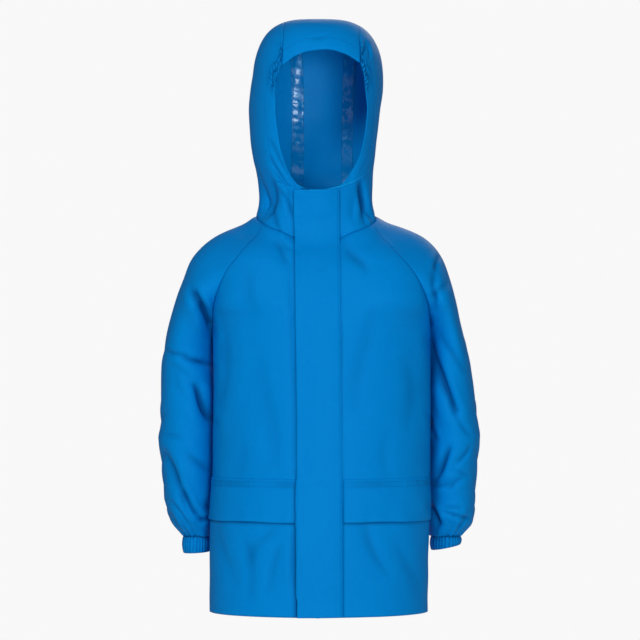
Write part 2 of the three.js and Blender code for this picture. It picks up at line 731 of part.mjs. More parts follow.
function buildHood() {
  const skin = new Skin();
  const { neckColumns, shoulderColumn, zipRows, openingRows, crownSteps, brimColumns } = hoodGrid;
  const gatherRows = 2 * hoodGathers;
  const seamSteps = crownSteps + zipRows + openingRows + gatherRows;
  const brim = evenly(flatPoints(brimEdge), brimColumns);
  const brimRow = onHoodFront(brim);
  const seams = {};
  for (const side of [-1, 1]) {
    const name = side > 0 ? 'left' : 'right';
    const corner = side > 0 ? brimRow[brimColumns] : brimRow[0];
    const seam = hoodSeam(side, corner, seamSteps);
    seams[name] = seam;
    const neckStart = neckPoint(side, 'frontPanel', stepAt(yokeArcs(side, 0, -1).panel, zipHalf));
    const dense = neckHalf(side, 14);
    const ahead = dense.slice(1, 28).filter((point) => Math.abs(point.x) > zipHalf + 2);
    const behind = dense.slice(29).filter((point) => Math.abs(point.x) > Math.abs(seam[seamSteps].x) + 2);
    const bottom = [
      ...evenly([neckStart, ...ahead, dense[28]], shoulderColumn),
      ...evenly([dense[28], ...behind, seam[seamSteps]], neckColumns - shoulderColumn).slice(1)];
    const zipEdge = Array.from({ length: zipRows + 1 }, (item, row) => {
      if (row === 0) return neckStart;
      return hoodFront(side * zipHalf, neckStart.z + (chinTop + 1 - neckStart.z) * row / zipRows);
    });
    const opening = onHoodFront([
      ...evenly(flatPoints(openingEdge[name]), openingRows).slice(1),
      ...evenly(flatPoints(gatheredEdge[name]), gatherRows).slice(1)]);
    opening[opening.length - 1] = corner;
    const front = [...zipEdge, ...opening];
    const top = evenly(seam.slice(0, crownSteps + 1), neckColumns);
    top[0] = corner;
    top[neckColumns] = seam[crownSteps];
    const rear = seam.slice(crownSteps).reverse();
    const chart = { read: sideChart.read, write: sideChart.write(side) };
    const rows = hoodPatch(bottom, top, front, rear, chart).reverse();
    skin.addPanel(`hood_side_${name}`, orient(side, rows));
    skin.panels[`hood_side_${name}`].topEdge = top;
    for (let row = 1; row < gatherRows; row += 2) {
      for (let column = 0; column < hoodGatherReach; column += 1) {
        const height = hoodGatherHeight * (1 - column / hoodGatherReach);
        skin.raised.set(skin.index(rows[row][column]), height);
      }
    }
  }
  // The crown's part of the seam has the side panel's columns, the rest its rows.
  const seamRows = (name) => [
    ...skin.panels[`hood_side_${name}`].topEdge, ...seams[name].slice(crownSteps + 1)];
  const right = seamRows('right');
  const left = seamRows('left');
  const neckEnd = [right[right.length - 1], neckAt(-1, 16), neckPoint(1, 'backPanel', 0), neckAt(1, 20),
    left[left.length - 1]];
  const nape = evenly(neckEnd, brimColumns);
  nape[0] = neckEnd[0];
  nape[brimColumns] = neckEnd[4];
  const rows = hoodPatch(brimRow, nape, right, left, crownChart);
  skin.addPanel('hood_centre', rows.map((row) => [...row].reverse()));
  for (const name of ['hood_side_left', 'hood_side_right', 'hood_centre']) {
    const { grid } = skin.panels[name];
    for (const index of grid[grid.length - 1]) {
      const { x, y } = skin.points[index];
      skin.fixedNormals.set(index, new THREE.Vector3(x, y, 0).normalize());
    }
  }
  skin.finish();
  return skin;
}

const body = buildBody();
const hood = buildHood();
const coat = new THREE.Group();

for (const name of ['front_left', 'front_right', 'back', 'sleeve_left', 'sleeve_right']) {
  coat.add(panelWall(body, name, name));
}
for (const name of ['hood_side_left', 'hood_side_right', 'hood_centre']) {
  coat.add(panelWall(hood, name, name));
}

// Elastic casings: gathered on the outside, plain inside.
function cuff(side, name) {
  const columns = 3 * cuffGathers;
  const [innerHeight, outerHeight] = side > 0 ? cuffHeight.left : cuffHeight.right;
  const innerEdge = Math.abs(sleeveRing(side, sleeveEnd, 0).x);
  const outerEdge = Math.abs(sleeveRing(side, sleeveEnd, 0.5).x);
  const swell = [0, 1.5, 0.5];
  const middle = new THREE.Vector3();
  const outer = [];
  const inner = [];
  for (const [row, down] of [0, 0.5, 1].entries()) {
    for (let column = 0; column < columns; column += 1) {
      const t = column / columns;
      const point = sleeveRing(side, sleeveEnd, t);
      const ahead = sleeveRing(side, sleeveEnd, (t + 0.004) % 1);
      const behind = sleeveRing(side, sleeveEnd, (t + 0.996) % 1);
      const around = new THREE.Vector3().subVectors(ahead, behind);
      const out = around.cross(new THREE.Vector3(0, 0, side)).normalize();
      const share = (Math.abs(point.x) - innerEdge) / (outerEdge - innerEdge);
      point.z = sleeveEnd - seamGap - down * (innerHeight + share * (outerHeight - innerHeight));
      middle.copy(point).addScaledVector(out, swell[row] - cuffInset);
      const wave = cuffGatherHeight * (0.5 - 0.5 * Math.cos(2 * Math.PI * cuffGathers * t));
      outer.push(middle.clone().addScaledVector(out, wave));
      inner.push(middle.clone().addScaledVector(out, -clothWall));
    }
  }
  const rows = swell.map((bulge, row) => Array.from({ length: columns + 1 }, (item, column) => (
    row * columns + column % columns)));
  return closedWall(name, outer, inner, gridFaces(orient(side, rows), (index) => outer[index]), shellBlue);
}

coat.add(cuff(1, 'cuff_left'), cuff(-1, 'cuff_right'));

// Places on the fronts: columns count out from the zip, rows down from the neck seam.
const frontRows = yokeSteps.length + torsoLevels.length;
function onFront(side, row, column) {
  const name = side > 0 ? 'front_left' : 'front_right';
  const { grid } = body.panels[name];
  return body.at(name, row, side > 0 ? column : grid[row].length - 1 - column);
}

function torsoRow(z) {
  return yokeSteps.length + torsoLevels.indexOf(z);
}

function onChin(x, z) {
  const point = hoodFront(x, z);
  const across = new THREE.Vector3().subVectors(hoodFront(x + 1, z), hoodFront(x - 1, z));
  const up = new THREE.Vector3().subVectors(hoodFront(x, z + 1), hoodFront(x, z - 1));
  return { point, normal: across.cross(up).normalize() };
}

// The storm flap lies over the zip from the chin to the hem, and stands off most along the zip.
const chinLevels = [chinTop - 1, 38, 26, 14, 2, -10];
const flapColumns = [
  { side: -1, column: 2, x: -flapHalf, near: 0.9 },
  { side: -1, column: 1, x: -18, near: 1.7 },
  { side: -1, column: 0, x: -zipHalf, near: 2.7 },
  { side: 1, column: 0, x: zipHalf, near: 2.7 },
  { side: 1, column: 1, x: 18, near: 1.5 },
  { side: 1, column: 2, x: flapHalf, near: 0.4 },
];
const flapWall = 1.6;
const chinClearance = 0.5;

function alongCentre(columns, levels, lastRow, wallOf) {
  const rows = levels.map((z) => columns.map((place) => ({
    ...onChin(place.x, z), ...wallOf(place, chinClearance) })));
  for (let row = 0; row <= lastRow; row += 1) {
    rows.push(columns.map((place) => ({
      ...onFront(place.side, row, place.column), ...wallOf(place, 0) })));
  }
  return rows;
}

const flapRows = alongCentre(flapColumns, chinLevels, frontRows - 1, (place, extra) => (
  { near: place.near + extra, far: place.near + extra + flapWall }));
coat.add(layer('storm_flap', flapRows, shellBlue));

// The zip: a tape inside each front, the closed chain between them and the slider at the top.
const tapeWall = 1;
const tapeReach = 1.2;
const tapeGap = 0.45;          // between each tape and the back of its front
const chainHalf = 2.4;
const zipLevels = chinLevels.slice(1);

for (const side of [-1, 1]) {
  const columns = [{ side, column: 0, x: side * zipHalf }, { side, column: 1, x: side * 18 }];
  const rows = alongCentre(columns, zipLevels, frontRows - 1, (place, extra) => (
    { near: -clothWall - tapeGap - extra - tapeWall, far: -clothWall - tapeGap - extra }));
  rows.forEach((row) => {
    row[0].point = row[0].point.clone().add(new THREE.Vector3(-side * tapeReach, 0, 0));
  });
  const name = side > 0 ? 'zip_tape_left' : 'zip_tape_right';
  coat.add(layer(name, orient(side, rows), zipBlue));
}

const chainColumns = [{ side: -1, column: 0, x: -zipHalf }, { side: 1, column: 0, x: zipHalf }];
const chainRows = alongCentre(chainColumns, zipLevels, frontRows - 1, (place, extra) => (
  { near: -2.3 - extra, far: -0.3 - extra }));
chainRows.forEach((row) => row.forEach((item) => {
  item.point = item.point.clone().setX(Math.sign(item.point.x) * chainHalf);
  item.normal = item.normal.clone().setX(0).normalize();
}));
coat.add(layer('zip_chain', chainRows, toothBlue));

const sliderHalf = 3.4;
const sliderRows = [37, 32, 27].map((z) => [-sliderHalf, sliderHalf].map((x) => ({
  ...onChin(x, z), near: 0.1, far: 1.9 })));
coat.add(layer('zip_slider', sliderRows, toothBlue));

// Flat pocket pieces over the lower fronts, and the flaps that cover their mouths.
const pocketFirst = 3;
const flapFall = [
  { z: pocketRow.seam, near: 0.4 },
  { z: pocketRow.stitch, near: 0.4 },
  { z: pocketRow.mouth, near: 2.0 },
  { z: -396, near: 2.1 },
  { z: pocketRow.edge, near: 2.4 },
];

function pocketLayer(name, side, rowPlaces) {
  const columnCount = body.panels.front_left.grid[0].length;
  const rows = rowPlaces.map(({ row, near }) => {
    const places = [];
    for (let column = pocketFirst; column < columnCount; column += 1) {
      places.push({ ...onFront(side, row, column), near, far: near + clothWall });
    }
    return places;
  });
  return layer(name, orient(side, rows), shellBlue);
}

for (const [side, name] of [[1, 'left'], [-1, 'right']]) {
  const patch = [];
  for (let row = torsoRow(pocketRow.mouth); row < frontRows; row += 1) patch.push({ row, near: 0.4 });
  coat.add(pocketLayer(`pocket_${name}`, side, patch));
  const fall = flapFall.map(({ z, near }) => ({ row: torsoRow(z), near }));
  coat.add(pocketLayer(`pocket_flap_${name}`, side, fall));
}

// Glossy tapes that seal the hood's two long seams on the inside.
const seamTapeHalf = 8;
const seamTapeWall = 1;
const seamTapeGap = 0.7;

function hoodTape(side, name) {
  const sideGrid = hood.panels[`hood_side_${name}`].grid;
  const centreGrid = hood.panels.hood_centre.grid;
  const lastColumn = hoodGrid.neckColumns;
  const rows = [];
  for (let row = 1; row < centreGrid.length; row += 1) {
    const edge = side > 0 ? 0 : centreGrid[row].length - 1;
    const seam = hood.points[centreGrid[row][edge]];
    const normal = hood.normals[centreGrid[row][edge]];
    const inPanel = hood.points[centreGrid[row][edge + side]];
    const onCrown = row <= lastColumn;
    const sideRow = onCrown ? 1 : row - lastColumn;
    const column = onCrown ? Math.min(row, lastColumn - 1) : lastColumn - 1;
    const beside = hood.points[sideGrid[sideRow][side > 0 ? column : lastColumn - column]];
    const step = (toward) => new THREE.Vector3().subVectors(toward, seam).setLength(seamTapeHalf).add(seam);
    const places = [step(beside), seam, step(inPanel)];
    rows.push(places.map((point) => ({
      point, normal, far: -clothWall - seamTapeGap, near: -clothWall - seamTapeGap - seamTapeWall })));
  }
  return layer(`hood_tape_${name}`, orient(side, rows), tapeBlue);
}

coat.add(hoodTape(1, 'left'), hoodTape(-1, 'right'));

export default coat;
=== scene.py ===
import math
import bmesh
import bpy
import numpy as np
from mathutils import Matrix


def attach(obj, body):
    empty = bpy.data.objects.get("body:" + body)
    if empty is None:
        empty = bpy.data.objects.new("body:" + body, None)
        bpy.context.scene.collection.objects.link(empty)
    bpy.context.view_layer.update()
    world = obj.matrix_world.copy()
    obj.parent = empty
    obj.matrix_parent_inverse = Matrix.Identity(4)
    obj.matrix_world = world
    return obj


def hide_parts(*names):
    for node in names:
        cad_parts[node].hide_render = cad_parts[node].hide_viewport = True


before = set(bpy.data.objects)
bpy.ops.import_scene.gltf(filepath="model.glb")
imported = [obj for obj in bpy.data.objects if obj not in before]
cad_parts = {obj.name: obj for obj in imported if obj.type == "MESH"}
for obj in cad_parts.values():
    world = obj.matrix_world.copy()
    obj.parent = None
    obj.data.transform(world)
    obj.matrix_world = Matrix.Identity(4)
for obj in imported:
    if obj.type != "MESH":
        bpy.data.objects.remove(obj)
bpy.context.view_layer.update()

# A child's raincoat in its worn form. Shapes are worked out in millimetres from the same
# named sizes as the solids, and every mesh is made in metres. The front faces -Y.
coat = {
    "cellSize": 2.5,   # spacing of the cloth meshes
    "clothWall": 0.8,                    # coated cloth with its seam allowance
    "hemHeight": -541.5,
    "hemLift": 1.0,
    "hemRise": 60.0,
    "sleeveTop": -140.0,
    "sleeveEnd": -437.0,
    "underarmParting": 0.4,
    "underarmFade": 90.0,
}


def curveThrough(keys, values):
    order = np.argsort(keys)
    k = np.asarray(keys, float)[order]
    v = np.asarray(values, float)[order]
    slope = np.diff(v) / np.diff(k)
    tangent = np.zeros_like(v)
    tangent[0] = slope[0]
    tangent[-1] = slope[-1]
    both = slope[:-1] * slope[1:]
    total = slope[:-1] + slope[1:]
    rising = both > 0
    tangent[1:-1][rising] = 2 * both[rising] / total[rising]

    def value(at):
        at = np.clip(at, k[0], k[-1])
        i = np.clip(np.searchsorted(k, at, side="right") - 1, 0, len(k) - 2)
        span = k[i + 1] - k[i]
        t = (at - k[i]) / span
        rise = v[i + 1] - v[i]
        early = tangent[i] * span
        late = tangent[i + 1] * span
        return v[i] + t * (early + t * (3 * rise - 2 * early - late + t * (early + late - 2 * rise)))

    return value


def table(names, rows):
    # the first column is the key, and every column becomes a smooth curve over it
    keys = [row[0] for row in rows]
    return {name: curveThrough(keys, [row[i] for row in rows]) for i, name in enumerate(names.split())}


frontYoke = table("down centreY centreZ seamX seamY seamZ panelTurn sleeveTurn", [
    [0.00, -62, -23, 73, -34, -3, 62, 62],
    [0.12, -72, -35, 88, -50, -18, 50, 50],
    [0.26, -82, -50, 102, -62, -32, 42, 42],
    [0.40, -90, -66, 115, -69, -47, 38, 38],
    [0.55, -96, -83, 129, -70, -65, 42, 30],
    [0.70, -101, -101, 139, -65, -86, 56, 0],
    [0.85, -104, -120, 147, -50, -110, 80, -45],
    [1.00, -106, -140, 151, -8, -140, 90, -68],
])
backYoke = table("down centreY centreZ seamX seamY seamZ panelTurn sleeveTurn", [
    [0.00, 60, 13, 70, 34, 11, 62, 62],
    [0.12, 72, -4, 86, 54, -3, 50, 50],
    [0.26, 84, -22, 101, 68, -20, 42, 42],
    [0.40, 93, -42, 114, 75, -39, 38, 38],
    [0.55, 99, -64, 128, 77, -60, 42, 30],
    [0.70, 102, -88, 138, 72, -84, 56, 0],
    [0.85, 104, -113, 146, 54, -110, 78, -45],
    [1.00, 104, -140, 151, -8, -140, 90, -68],
])
shoulder = table("down right left y z seamPull topPull", [
    [0.00, 82, 75, 4, 8, 42, 42],
    [0.12, 111, 112, 4, -2, 62, 70],
    [0.26, 141, 143, 5, -15, 80, 100],
    [0.40, 163, 163, 7, -31, 92, 118],
    [0.55, 180, 177, 9, -53, 98, 130],
    [0.70, 191, 186, 11, -81, 112, 145],
    [0.85, 201, 194, 13, -110, 135, 168],
    [1.00, 210, 200, 15, -140, 190, 190],
])
torso = table("z front back right left sideY", [
    [-140, -106, 104, 147, 157, -8],
    [-200, -109, 102, 146, 157, -12],
    [-280, -109, 100, 146, 157, -12],
    [-370, -107, 101, 148, 156, -10],
    [-460, -106, 104, 150, 153, -8],
    [-550, -105, 107, 150.5, 151.5, -6],
])
sleeve = table("z outerRight outerLeft innerRight innerLeft middle front back", [
    [-140, 210, 198, 147, 157, 4, -38, 58],
    [-165, 215, 207, 148, 158, 17, -34, 66],
    [-195, 220, 214, 148, 158, 23, -30, 74],
    [-235, 221, 220, 147, 157, 29, -26, 82],
    [-284, 223, 226, 147, 157, 34, -21, 88],
    [-301, 225, 228, 147, 157, 35, -20, 90],
    [-326, 221, 225, 147, 157, 37, -18, 91],
    [-377, 217, 222, 148, 157, 41, -12, 93],
    [-405, 212, 221, 149, 157, 43, -7, 92],
    [-420, 206, 218, 150, 158, 44, 0, 87],
    [-437, 191, 202, 152, 159, 45, 10, 79],
])


def vectors(x, y, z):
    return np.stack(np.broadcast_arrays(x, y, z), axis=-1).astype(float)


def unit(v):
    return v / np.maximum(np.linalg.norm(v, axis=-1, keepdims=True), 1e-9)


def dots(a, b):
    return np.sum(a * b, axis=-1, keepdims=True)


# An arc is (start, startPull, end, endPull), one row each for many rows at once.
def onArc(arc, t):
    start, startPull, end, endPull = [part[:, None, :] for part in arc]
    t = np.asarray(t, float)
    t = (t[None, :] if t.ndim == 1 else t)[..., None]
    s = 1 - t
    return (start * s * s * (1 + 2 * t) + startPull * s * s * t
            + end * t * t * (3 - 2 * t) - endPull * s * t * t)


def roundPull(start, end, direction, other):
    # the pull that makes an arc leave in one direction and arrive in another, fuller the more it turns
    size = dots(direction, direction)
    cosine = dots(direction, other) / np.sqrt(size * dots(other, other))
    return direction * (1 + 0.75 * (1 - cosine)) * np.abs(dots(end - start, direction)) / size


def yokeArcs(side, down, face):
    down = np.asarray(down, float)
    rows = frontYoke if face < 0 else backYoke
    spread = 1 + (0.04 if side > 0 else -0.026) * down
    centre = vectors(0 * down, rows["centreY"](down), rows["centreZ"](down))
    seam = vectors(side * spread * rows["seamX"](down), rows["seamY"](down), rows["seamZ"](down))
    reach = (shoulder["left"] if side > 0 else shoulder["right"])(down)
    tip = vectors(side * reach, shoulder["y"](down), shoulder["z"](down))
    slope = (tip[:, 2] - centre[:, 2]) / (np.abs(seam[:, 0]) + np.linalg.norm(tip - seam, axis=1))

    def turned(degrees):
        angle = np.radians(degrees)
        return vectors(side * np.cos(angle), -face * np.sin(angle), slope)

    across = vectors(side + 0 * down, 0, 0)
    panelEnd = turned(rows["panelTurn"](down))
    sleeveStart = turned(rows["sleeveTurn"](down)) * shoulder["seamPull"](down)[:, None]
    panelStart = roundPull(centre, seam, across, panelEnd)
    panel = (centre, panelStart, seam, roundPull(centre, seam, panelEnd, across))
    half = (seam, sleeveStart, tip, vectors(0, -face * shoulder["topPull"](down), 0))
    return panel, half


def torsoArc(side, z, face):
    z = np.asarray(z, float)
    centre = vectors(0 * z, (torso["front"] if face < 0 else torso["back"])(z), z)
    edge = vectors(side * (torso["left"] if side > 0 else torso["right"])(z), torso["sideY"](z), z)
    across = vectors(side + 0 * z, 0, 0)
    along = vectors(0 * z, -face, 0)
    return centre, roundPull(centre, edge, across, along), edge, roundPull(centre, edge, along, across)


def withHem(points):
    low = np.maximum(0, (coat["hemHeight"] + coat["hemRise"] - points[..., 2]) / coat["hemRise"])
    points[..., 2] += coat["hemLift"] * low * low * (points[..., 0] / 150) ** 2
    return points


def lastInside(inside, low, high, shape, turns=32):
    # the largest values that are still inside, found by halving
    low = np.full(shape, float(low))
    high = np.full(shape, float(high))
    for turn in range(turns):
        middle = (low + high) / 2
        within = inside(middle)
        low = np.where(within, middle, low)
        high = np.where(within, high, middle)
    return (low + high) / 2


def stepAt(arc, distance):
    # where each row's arc has gone out to the given distance from the centre line
    return lastInside(lambda t: np.abs(onArc(arc, t)[..., 0]) < distance, 0, 1, (len(arc[0]), 1), 34)


def sleeveRing(side, z, t):
    z = np.asarray(z, float)
    t = np.asarray(t, float)
    inner = side * (sleeve["innerLeft"] if side > 0 else sleeve["innerRight"])(z)
    outer = side * (sleeve["outerLeft"] if side > 0 else sleeve["outerRight"])(z)
    middle = sleeve["middle"](z)
    start = vectors(inner, middle, z)
    end = vectors(outer, middle, z)
    parted = coat["underarmParting"] * np.maximum(0, 1 - (coat["sleeveTop"] - z) / coat["underarmFade"])
    halves = []
    for face, part in ((-1, t[t < 0.5]), (1, t[t >= 0.5])):
        bulge = 4 * np.abs((sleeve["front"] if face < 0 else sleeve["back"])(z) - middle)
        pull = vectors(side * parted * bulge, face * bulge, 0)
        finish = vectors(0 * z, -face * bulge, 0)
        halves.append(onArc((start, pull, end, finish), 2 * part if face < 0 else 2 - 2 * part))
    return np.concatenate(halves, axis=1)


def joinArcs(upper, lower):
    return tuple(np.concatenate([a, b]) for a, b in zip(upper, lower))


def rowsBetween(low, high, step):
    return np.linspace(low, high, max(3, int(abs(high - low) / step)))


# Soft irregular waves that keep any stretch of cloth from lying dead flat.
waves = np.random.default_rng(7)
waveWays = unit(waves.normal(size=(16, 3)))
waveLengths = waves.uniform(26, 95, 16)
wavePhases = waves.uniform(0, 2 * math.pi, 16)


def softness(points, amount):
    total = np.zeros(points.shape[:-1])
    for way, length, phase in zip(waveWays, waveLengths, wavePhases):
        total += np.sin(2 * math.pi * (points @ way) / length + phase) * length / 60
    return amount * total / 4


# Creases, one by one: from a, z to a, z, then depth and width. A trough has a soft ridge on each side,
# fades towards its ends and bends a little. a is X at the front and back, and Y at the sides.
creaseGroups = [
    ("front", [   # wearer's right sleeve, seen on the left of the front view
        (-170, -94, -147, -152, 8.5, 6.5), (-182, -84, -161, -118, 2.6, 7),
        (-217, -172, -183, -184, 2.8, 5), (-184, -184, -147, -200, 4.8, 6),
        (-206, -196, -166, -226, 1.6, 8), (-172, -228, -146, -274, 7.5, 8),
        (-197, -210, -180, -258, 1.5, 8), (-218, -290, -190, -302, 1.4, 8),
        (-217, -322, -183, -380, 4.6, 7.5), (-188, -374, -163, -411, 5.2, 5),
        (-165, -411, -149, -409, 4.0, 4), (-203, -388, -182, -418, 3.0, 3.6),
        (-195, -380, -177, -407, 2.4, 3.6), (-156, -388, -148, -404, 3.6, 5),
        (-178, -318, -152, -352, 2.4, 9), (-212, -402, -196, -424, 2.4, 3.4),
    ]),
    ("front", [   # wearer's left sleeve
        (169, -42, 165, -60, 4.4, 3.4), (166, -60, 159, -116, 4.0, 7),
        (159, -98, 177, -84, 2.4, 4.5), (182, -62, 172, -104, 1.8, 8),
        (156, -160, 194, -258, 7.4, 7.5), (172, -150, 202, -206, 2.2, 9),
        (156, -264, 158, -285, 4.8, 4), (158, -284, 168, -298, 2.4, 4),
        (185, -250, 212, -294, 2.4, 6), (186, -314, 163, -356, 5.6, 6),
        (213, -310, 192, -336, 2.6, 4.5), (211, -348, 183, -346, 2.2, 4),
        (207, -354, 183, -366, 2.8, 5.5), (183, -366, 156, -361, 3.0, 5.5),
        (154, -390, 172, -416, 8.0, 5), (173, -401, 215, -410, 3.0, 3.4),
        (177, -393, 199, -397, 2.0, 3.6), (212, -404, 196, -426, 2.2, 3.4),
    ]),
    ("front", [   # yoke, chest and lower fronts
        (-62, -26, -38, -52, 2.2, 9), (-48, -24, -32, -36, 1.4, 6),
        (42, -30, 62, -66, 2.2, 11), (122, -190, 126, -280, 1.5, 15),
        (-104, -70, -78, -118, 1.2, 16), (66, -412, 92, -484, 2.1, 11),
        (112, -440, 134, -520, 1.3, 13), (-100, -440, -88, -516, 1.8, 13),
        (-62, -418, -92, -470, 1.7, 13), (-40, -436, -74, -506, 1.6, 13),
        (-38, -64, -34, -346, 1.6, 5), (-31, -340, -30, -414, 2.4, 3.5),
        (-32, -410, -31, -512, 4.2, 4), (-134, -412, -120, -500, 1.6, 12),
        (-128, -150, -134, -250, 1.4, 13), (66, -120, 58, -250, 1.0, 18),
        (100, -280, 92, -350, 0.9, 14), (-70, -190, -64, -330, 1.1, 18),
        (-110, -300, -104, -350, 0.9, 14),
    ]),
    ("front", [   # hood front, chin and brim
        (-68, 114, -32, 53, 1.9, 4.2), (-65, 92, -41, 50, 2.3, 3.8),
        (-60, 72, -40, 38, 1.7, 3.6), (-53, 44, -35, 12, 2.0, 4.4),
        (-66, 28, -50, -12, 2.6, 5), (-41, 42, -36, 4, 1.3, 3.4),
        (60, 58, 62, 0, 4.2, 4.2), (48, 44, 51, 4, 1.3, 4.5),
        (58, 94, 42, 60, 1.4, 5.5), (-30, 46, -6, 43, 0.7, 2),
        (-26, 27, -10, 25, 0.6, 2), (-9, 252, 12, 261, 1.6, 3),
        (61, 234, 67, 251, 3.6, 3.2), (71, 248, 70, 230, 2.8, 3),
    ]),
    ("back", [
        (-160, -110, -126, -176, 5.0, 10), (164, -105, 128, -180, 5.0, 10),
        (-150, -92, -108, -128, 2.4, 9), (152, -90, 112, -126, 2.4, 9),
        (-205, -230, -160, -262, 4.5, 8), (210, -248, 166, -276, 4.5, 8),
        (-212, -300, -170, -338, 4.2, 8), (218, -310, 176, -352, 4.2, 8),
        (-200, -170, -164, -186, 3.4, 7), (196, -168, 166, -190, 3.4, 7),
        (-204, -366, -164, -410, 4.0, 6), (212, -372, 172, -414, 4.0, 6),
        (-190, -385, -160, -402, 3.0, 4.5), (200, -388, 168, -398, 3.0, 4.5),
        (-70, -130, -42, -330, 3.0, 18), (66, -150, 48, -380, 3.0, 18),
        (-14, -100, -6, -230, 1.4, 16), (110, -240, 96, -420, 2.2, 17),
        (-112, -220, -100, -440, 2.2, 17), (20, -330, 28, -500, 1.6, 16),
        (-84, -14, -50, -40, 2.0, 9), (84, -12, 52, -38, 2.0, 9),
        (-50, 46, 50, 40, 3.0, 10), (-42, 28, 30, 24, 1.8, 7),
        (-60, 66, -10, 60, 1.4, 8),
    ]),
    ("right", [   # outer sides of the sleeves, and the sides of the neck
        (-4, -262, 74, -300, 1.17, 9), (6, -350, 78, -398, 1.17, 9),
        (14, -180, 70, -212, 1.08, 8), (30, -300, 88, -332, 1.53, 7),
        (34, -392, 78, -420, 1.53, 5),
    ]),
    ("left", [
        (-2, -250, 70, -290, 1.17, 9), (6, -345, 80, -402, 1.17, 9),
        (14, -170, 70, -206, 1.08, 8), (30, -302, 90, -330, 1.53, 7),
        (36, -388, 80, -420, 1.53, 5),
    ]),
    ("right", [
        (0, -150, 44, -190, 1.1, 8), (4, -318, 44, -342, 1.1, 7),
        (60, -372, 24, -406, 1.1, 5), (66, -236, 20, -250, 1.1, 9),
    ]),
    ("left", [
        (2, -140, 46, -186, 1.1, 8), (6, -312, 48, -344, 1.1, 7),
        (62, -368, 26, -404, 1.1, 5), (68, -228, 22, -246, 1.1, 9),
    ]),
    ("right", [
        (-36, 8, -50, 62, 3.2, 7), (-14, 14, -22, 50, 1.6, 7),
        (26, 16, 20, 58, 2.6, 8),
    ]),
    ("left", [
        (-34, 4, -48, 52, 3.6, 6), (-14, 10, -20, 46, 1.6, 7),
        (28, 14, 22, 56, 2.6, 8),
    ]),
]
creases = [(face, *row) for face, group in creaseGroups for row in group]
faceWays = {"front": (0, -1), "back": (0, 1), "right": (-1, 0), "left": (1, 0)}
creaseForm = {
    "facing": 1.6,           # how soon a crease fades where the cloth turns away from its face
    "bend": 0.45,            # sideways, in widths
    "steepSide": 1.3,
    "easySide": 0.85,
    "endDepth": 0.45,        # at its two ends, as a share of the middle
    "core": 0.45,            # width of the sharp core, in widths, and its share of the depth
    "ridge": 0.3,
    "ridgeOut": 1.9,         # in widths
    "ridgeWidth": 1.1,
}


def creaseDepth(points, normals):
    form = creaseForm
    depth = np.zeros(points.shape[:-1])
    for number, (face, a0, z0, a1, z1, deep, wide) in enumerate(creases):
        way = faceWays[face]
        axis = 1 if way[0] else 0
        turned = np.clip(form["facing"] * (normals[..., 0] * way[0] + normals[..., 1] * way[1]), 0, 1)
        if way[0]:
            turned = turned * (points[..., 0] * way[0] > 0)   # the sleeves' inner sides stay plain
        run = np.array([a1 - a0, z1 - z0], float)
        length = np.hypot(*run)
        offA = points[..., axis] - a0
        offZ = points[..., 2] - z0
        along = (offA * run[0] + offZ * run[1]) / length ** 2
        aside = (offA * run[1] - offZ * run[0]) / length
        aside = aside + form["bend"] * wide * np.sin(3.4 * along + 1.7 * number)
        aside = np.where(aside < 0, form["steepSide"] * aside, form["easySide"] * aside)
        beyond = np.maximum(np.maximum(-along, along - 1), 0) * length
        distance = np.hypot(aside, beyond)
        fullness = 1 - np.abs(2 * np.clip(along, 0, 1) - 1) ** 2.4
        fade = form["endDepth"] + (1 - form["endDepth"]) * fullness
        broad = (1 - form["core"]) * np.exp(-((distance / wide) ** 2))
        sharp = form["core"] * np.exp(-((distance / wide / form["core"]) ** 2))
        ridge = np.exp(-(((distance - form["ridgeOut"] * wide) / (form["ridgeWidth"] * wide)) ** 2))
        depth += turned * deep * fade * (broad + sharp - form["ridge"] * ridge)
    return depth


def gridNormals(points, closed=False):
    if closed:
        across = np.roll(points, -1, axis=1) - np.roll(points, 1, axis=1)
    else:
        across = np.gradient(points, axis=1)
    return unit(np.cross(np.gradient(points, axis=0), across))


def smoothNear(points, row, reach, turns=40):
    # evens out the rows where two stretches of a panel meet
    far = np.abs(np.arange(points.shape[0]) - row)
    weight = np.clip(1 - far / reach, 0, 1)[:, None, None]
    weight[0] = weight[-1] = 0
    for turn in range(turns):
        evened = points.copy()
        evened[1:-1] = (points[:-2] + points[2:]) / 2
        points = points + 0.5 * weight * (evened - points)
    return points


def seamDip(shape, edges, deep=0.3, reach=1.3):
    # how far the cloth is sunk along the sewn sides of a grid of that shape
    row, column = np.indices(shape)
    far = {"top": row, "bottom": shape[0] - 1 - row, "start": column, "end": shape[1] - 1 - column}
    away = np.min([far[edge] for edge in edges], axis=0) * coat["cellSize"]
    return deep * np.exp(-((away / reach) ** 2))


def arcLengths(points, axis):
    steps = np.linalg.norm(np.diff(points, axis=axis), axis=-1)
    first = np.zeros_like(np.take(steps, [0], axis=axis))
    return np.concatenate([first, np.cumsum(steps, axis=axis)], axis=axis)


def shellFaces(rows, columns, closed):
    # outer faces, inner faces and the rims between them
    count = rows * columns
    index = np.arange(count).reshape(rows, columns)
    if closed:
        index = np.concatenate([index, index[:, :1]], axis=1)
    a, b = index[:-1, :-1].ravel(), index[1:, :-1].ravel()
    c, d = index[1:, 1:].ravel(), index[:-1, 1:].ravel()

    def rim(line, turned=False):
        first, second = (line[1:], line[:-1]) if turned else (line[:-1], line[1:])
        return np.stack([first, second, second + count, first + count], axis=1)

    faces = [np.stack([a, b, c, d], axis=1), np.stack([a, d, c, b], axis=1) + count,
             rim(index[0]), rim(index[-1], True)]
    if not closed:
        faces += [rim(index[:, 0], True), rim(index[:, -1])]
    return faces


def linked(name, mesh):
    piece = bpy.data.objects.new(name, mesh)
    bpy.context.scene.collection.objects.link(piece)
    return piece


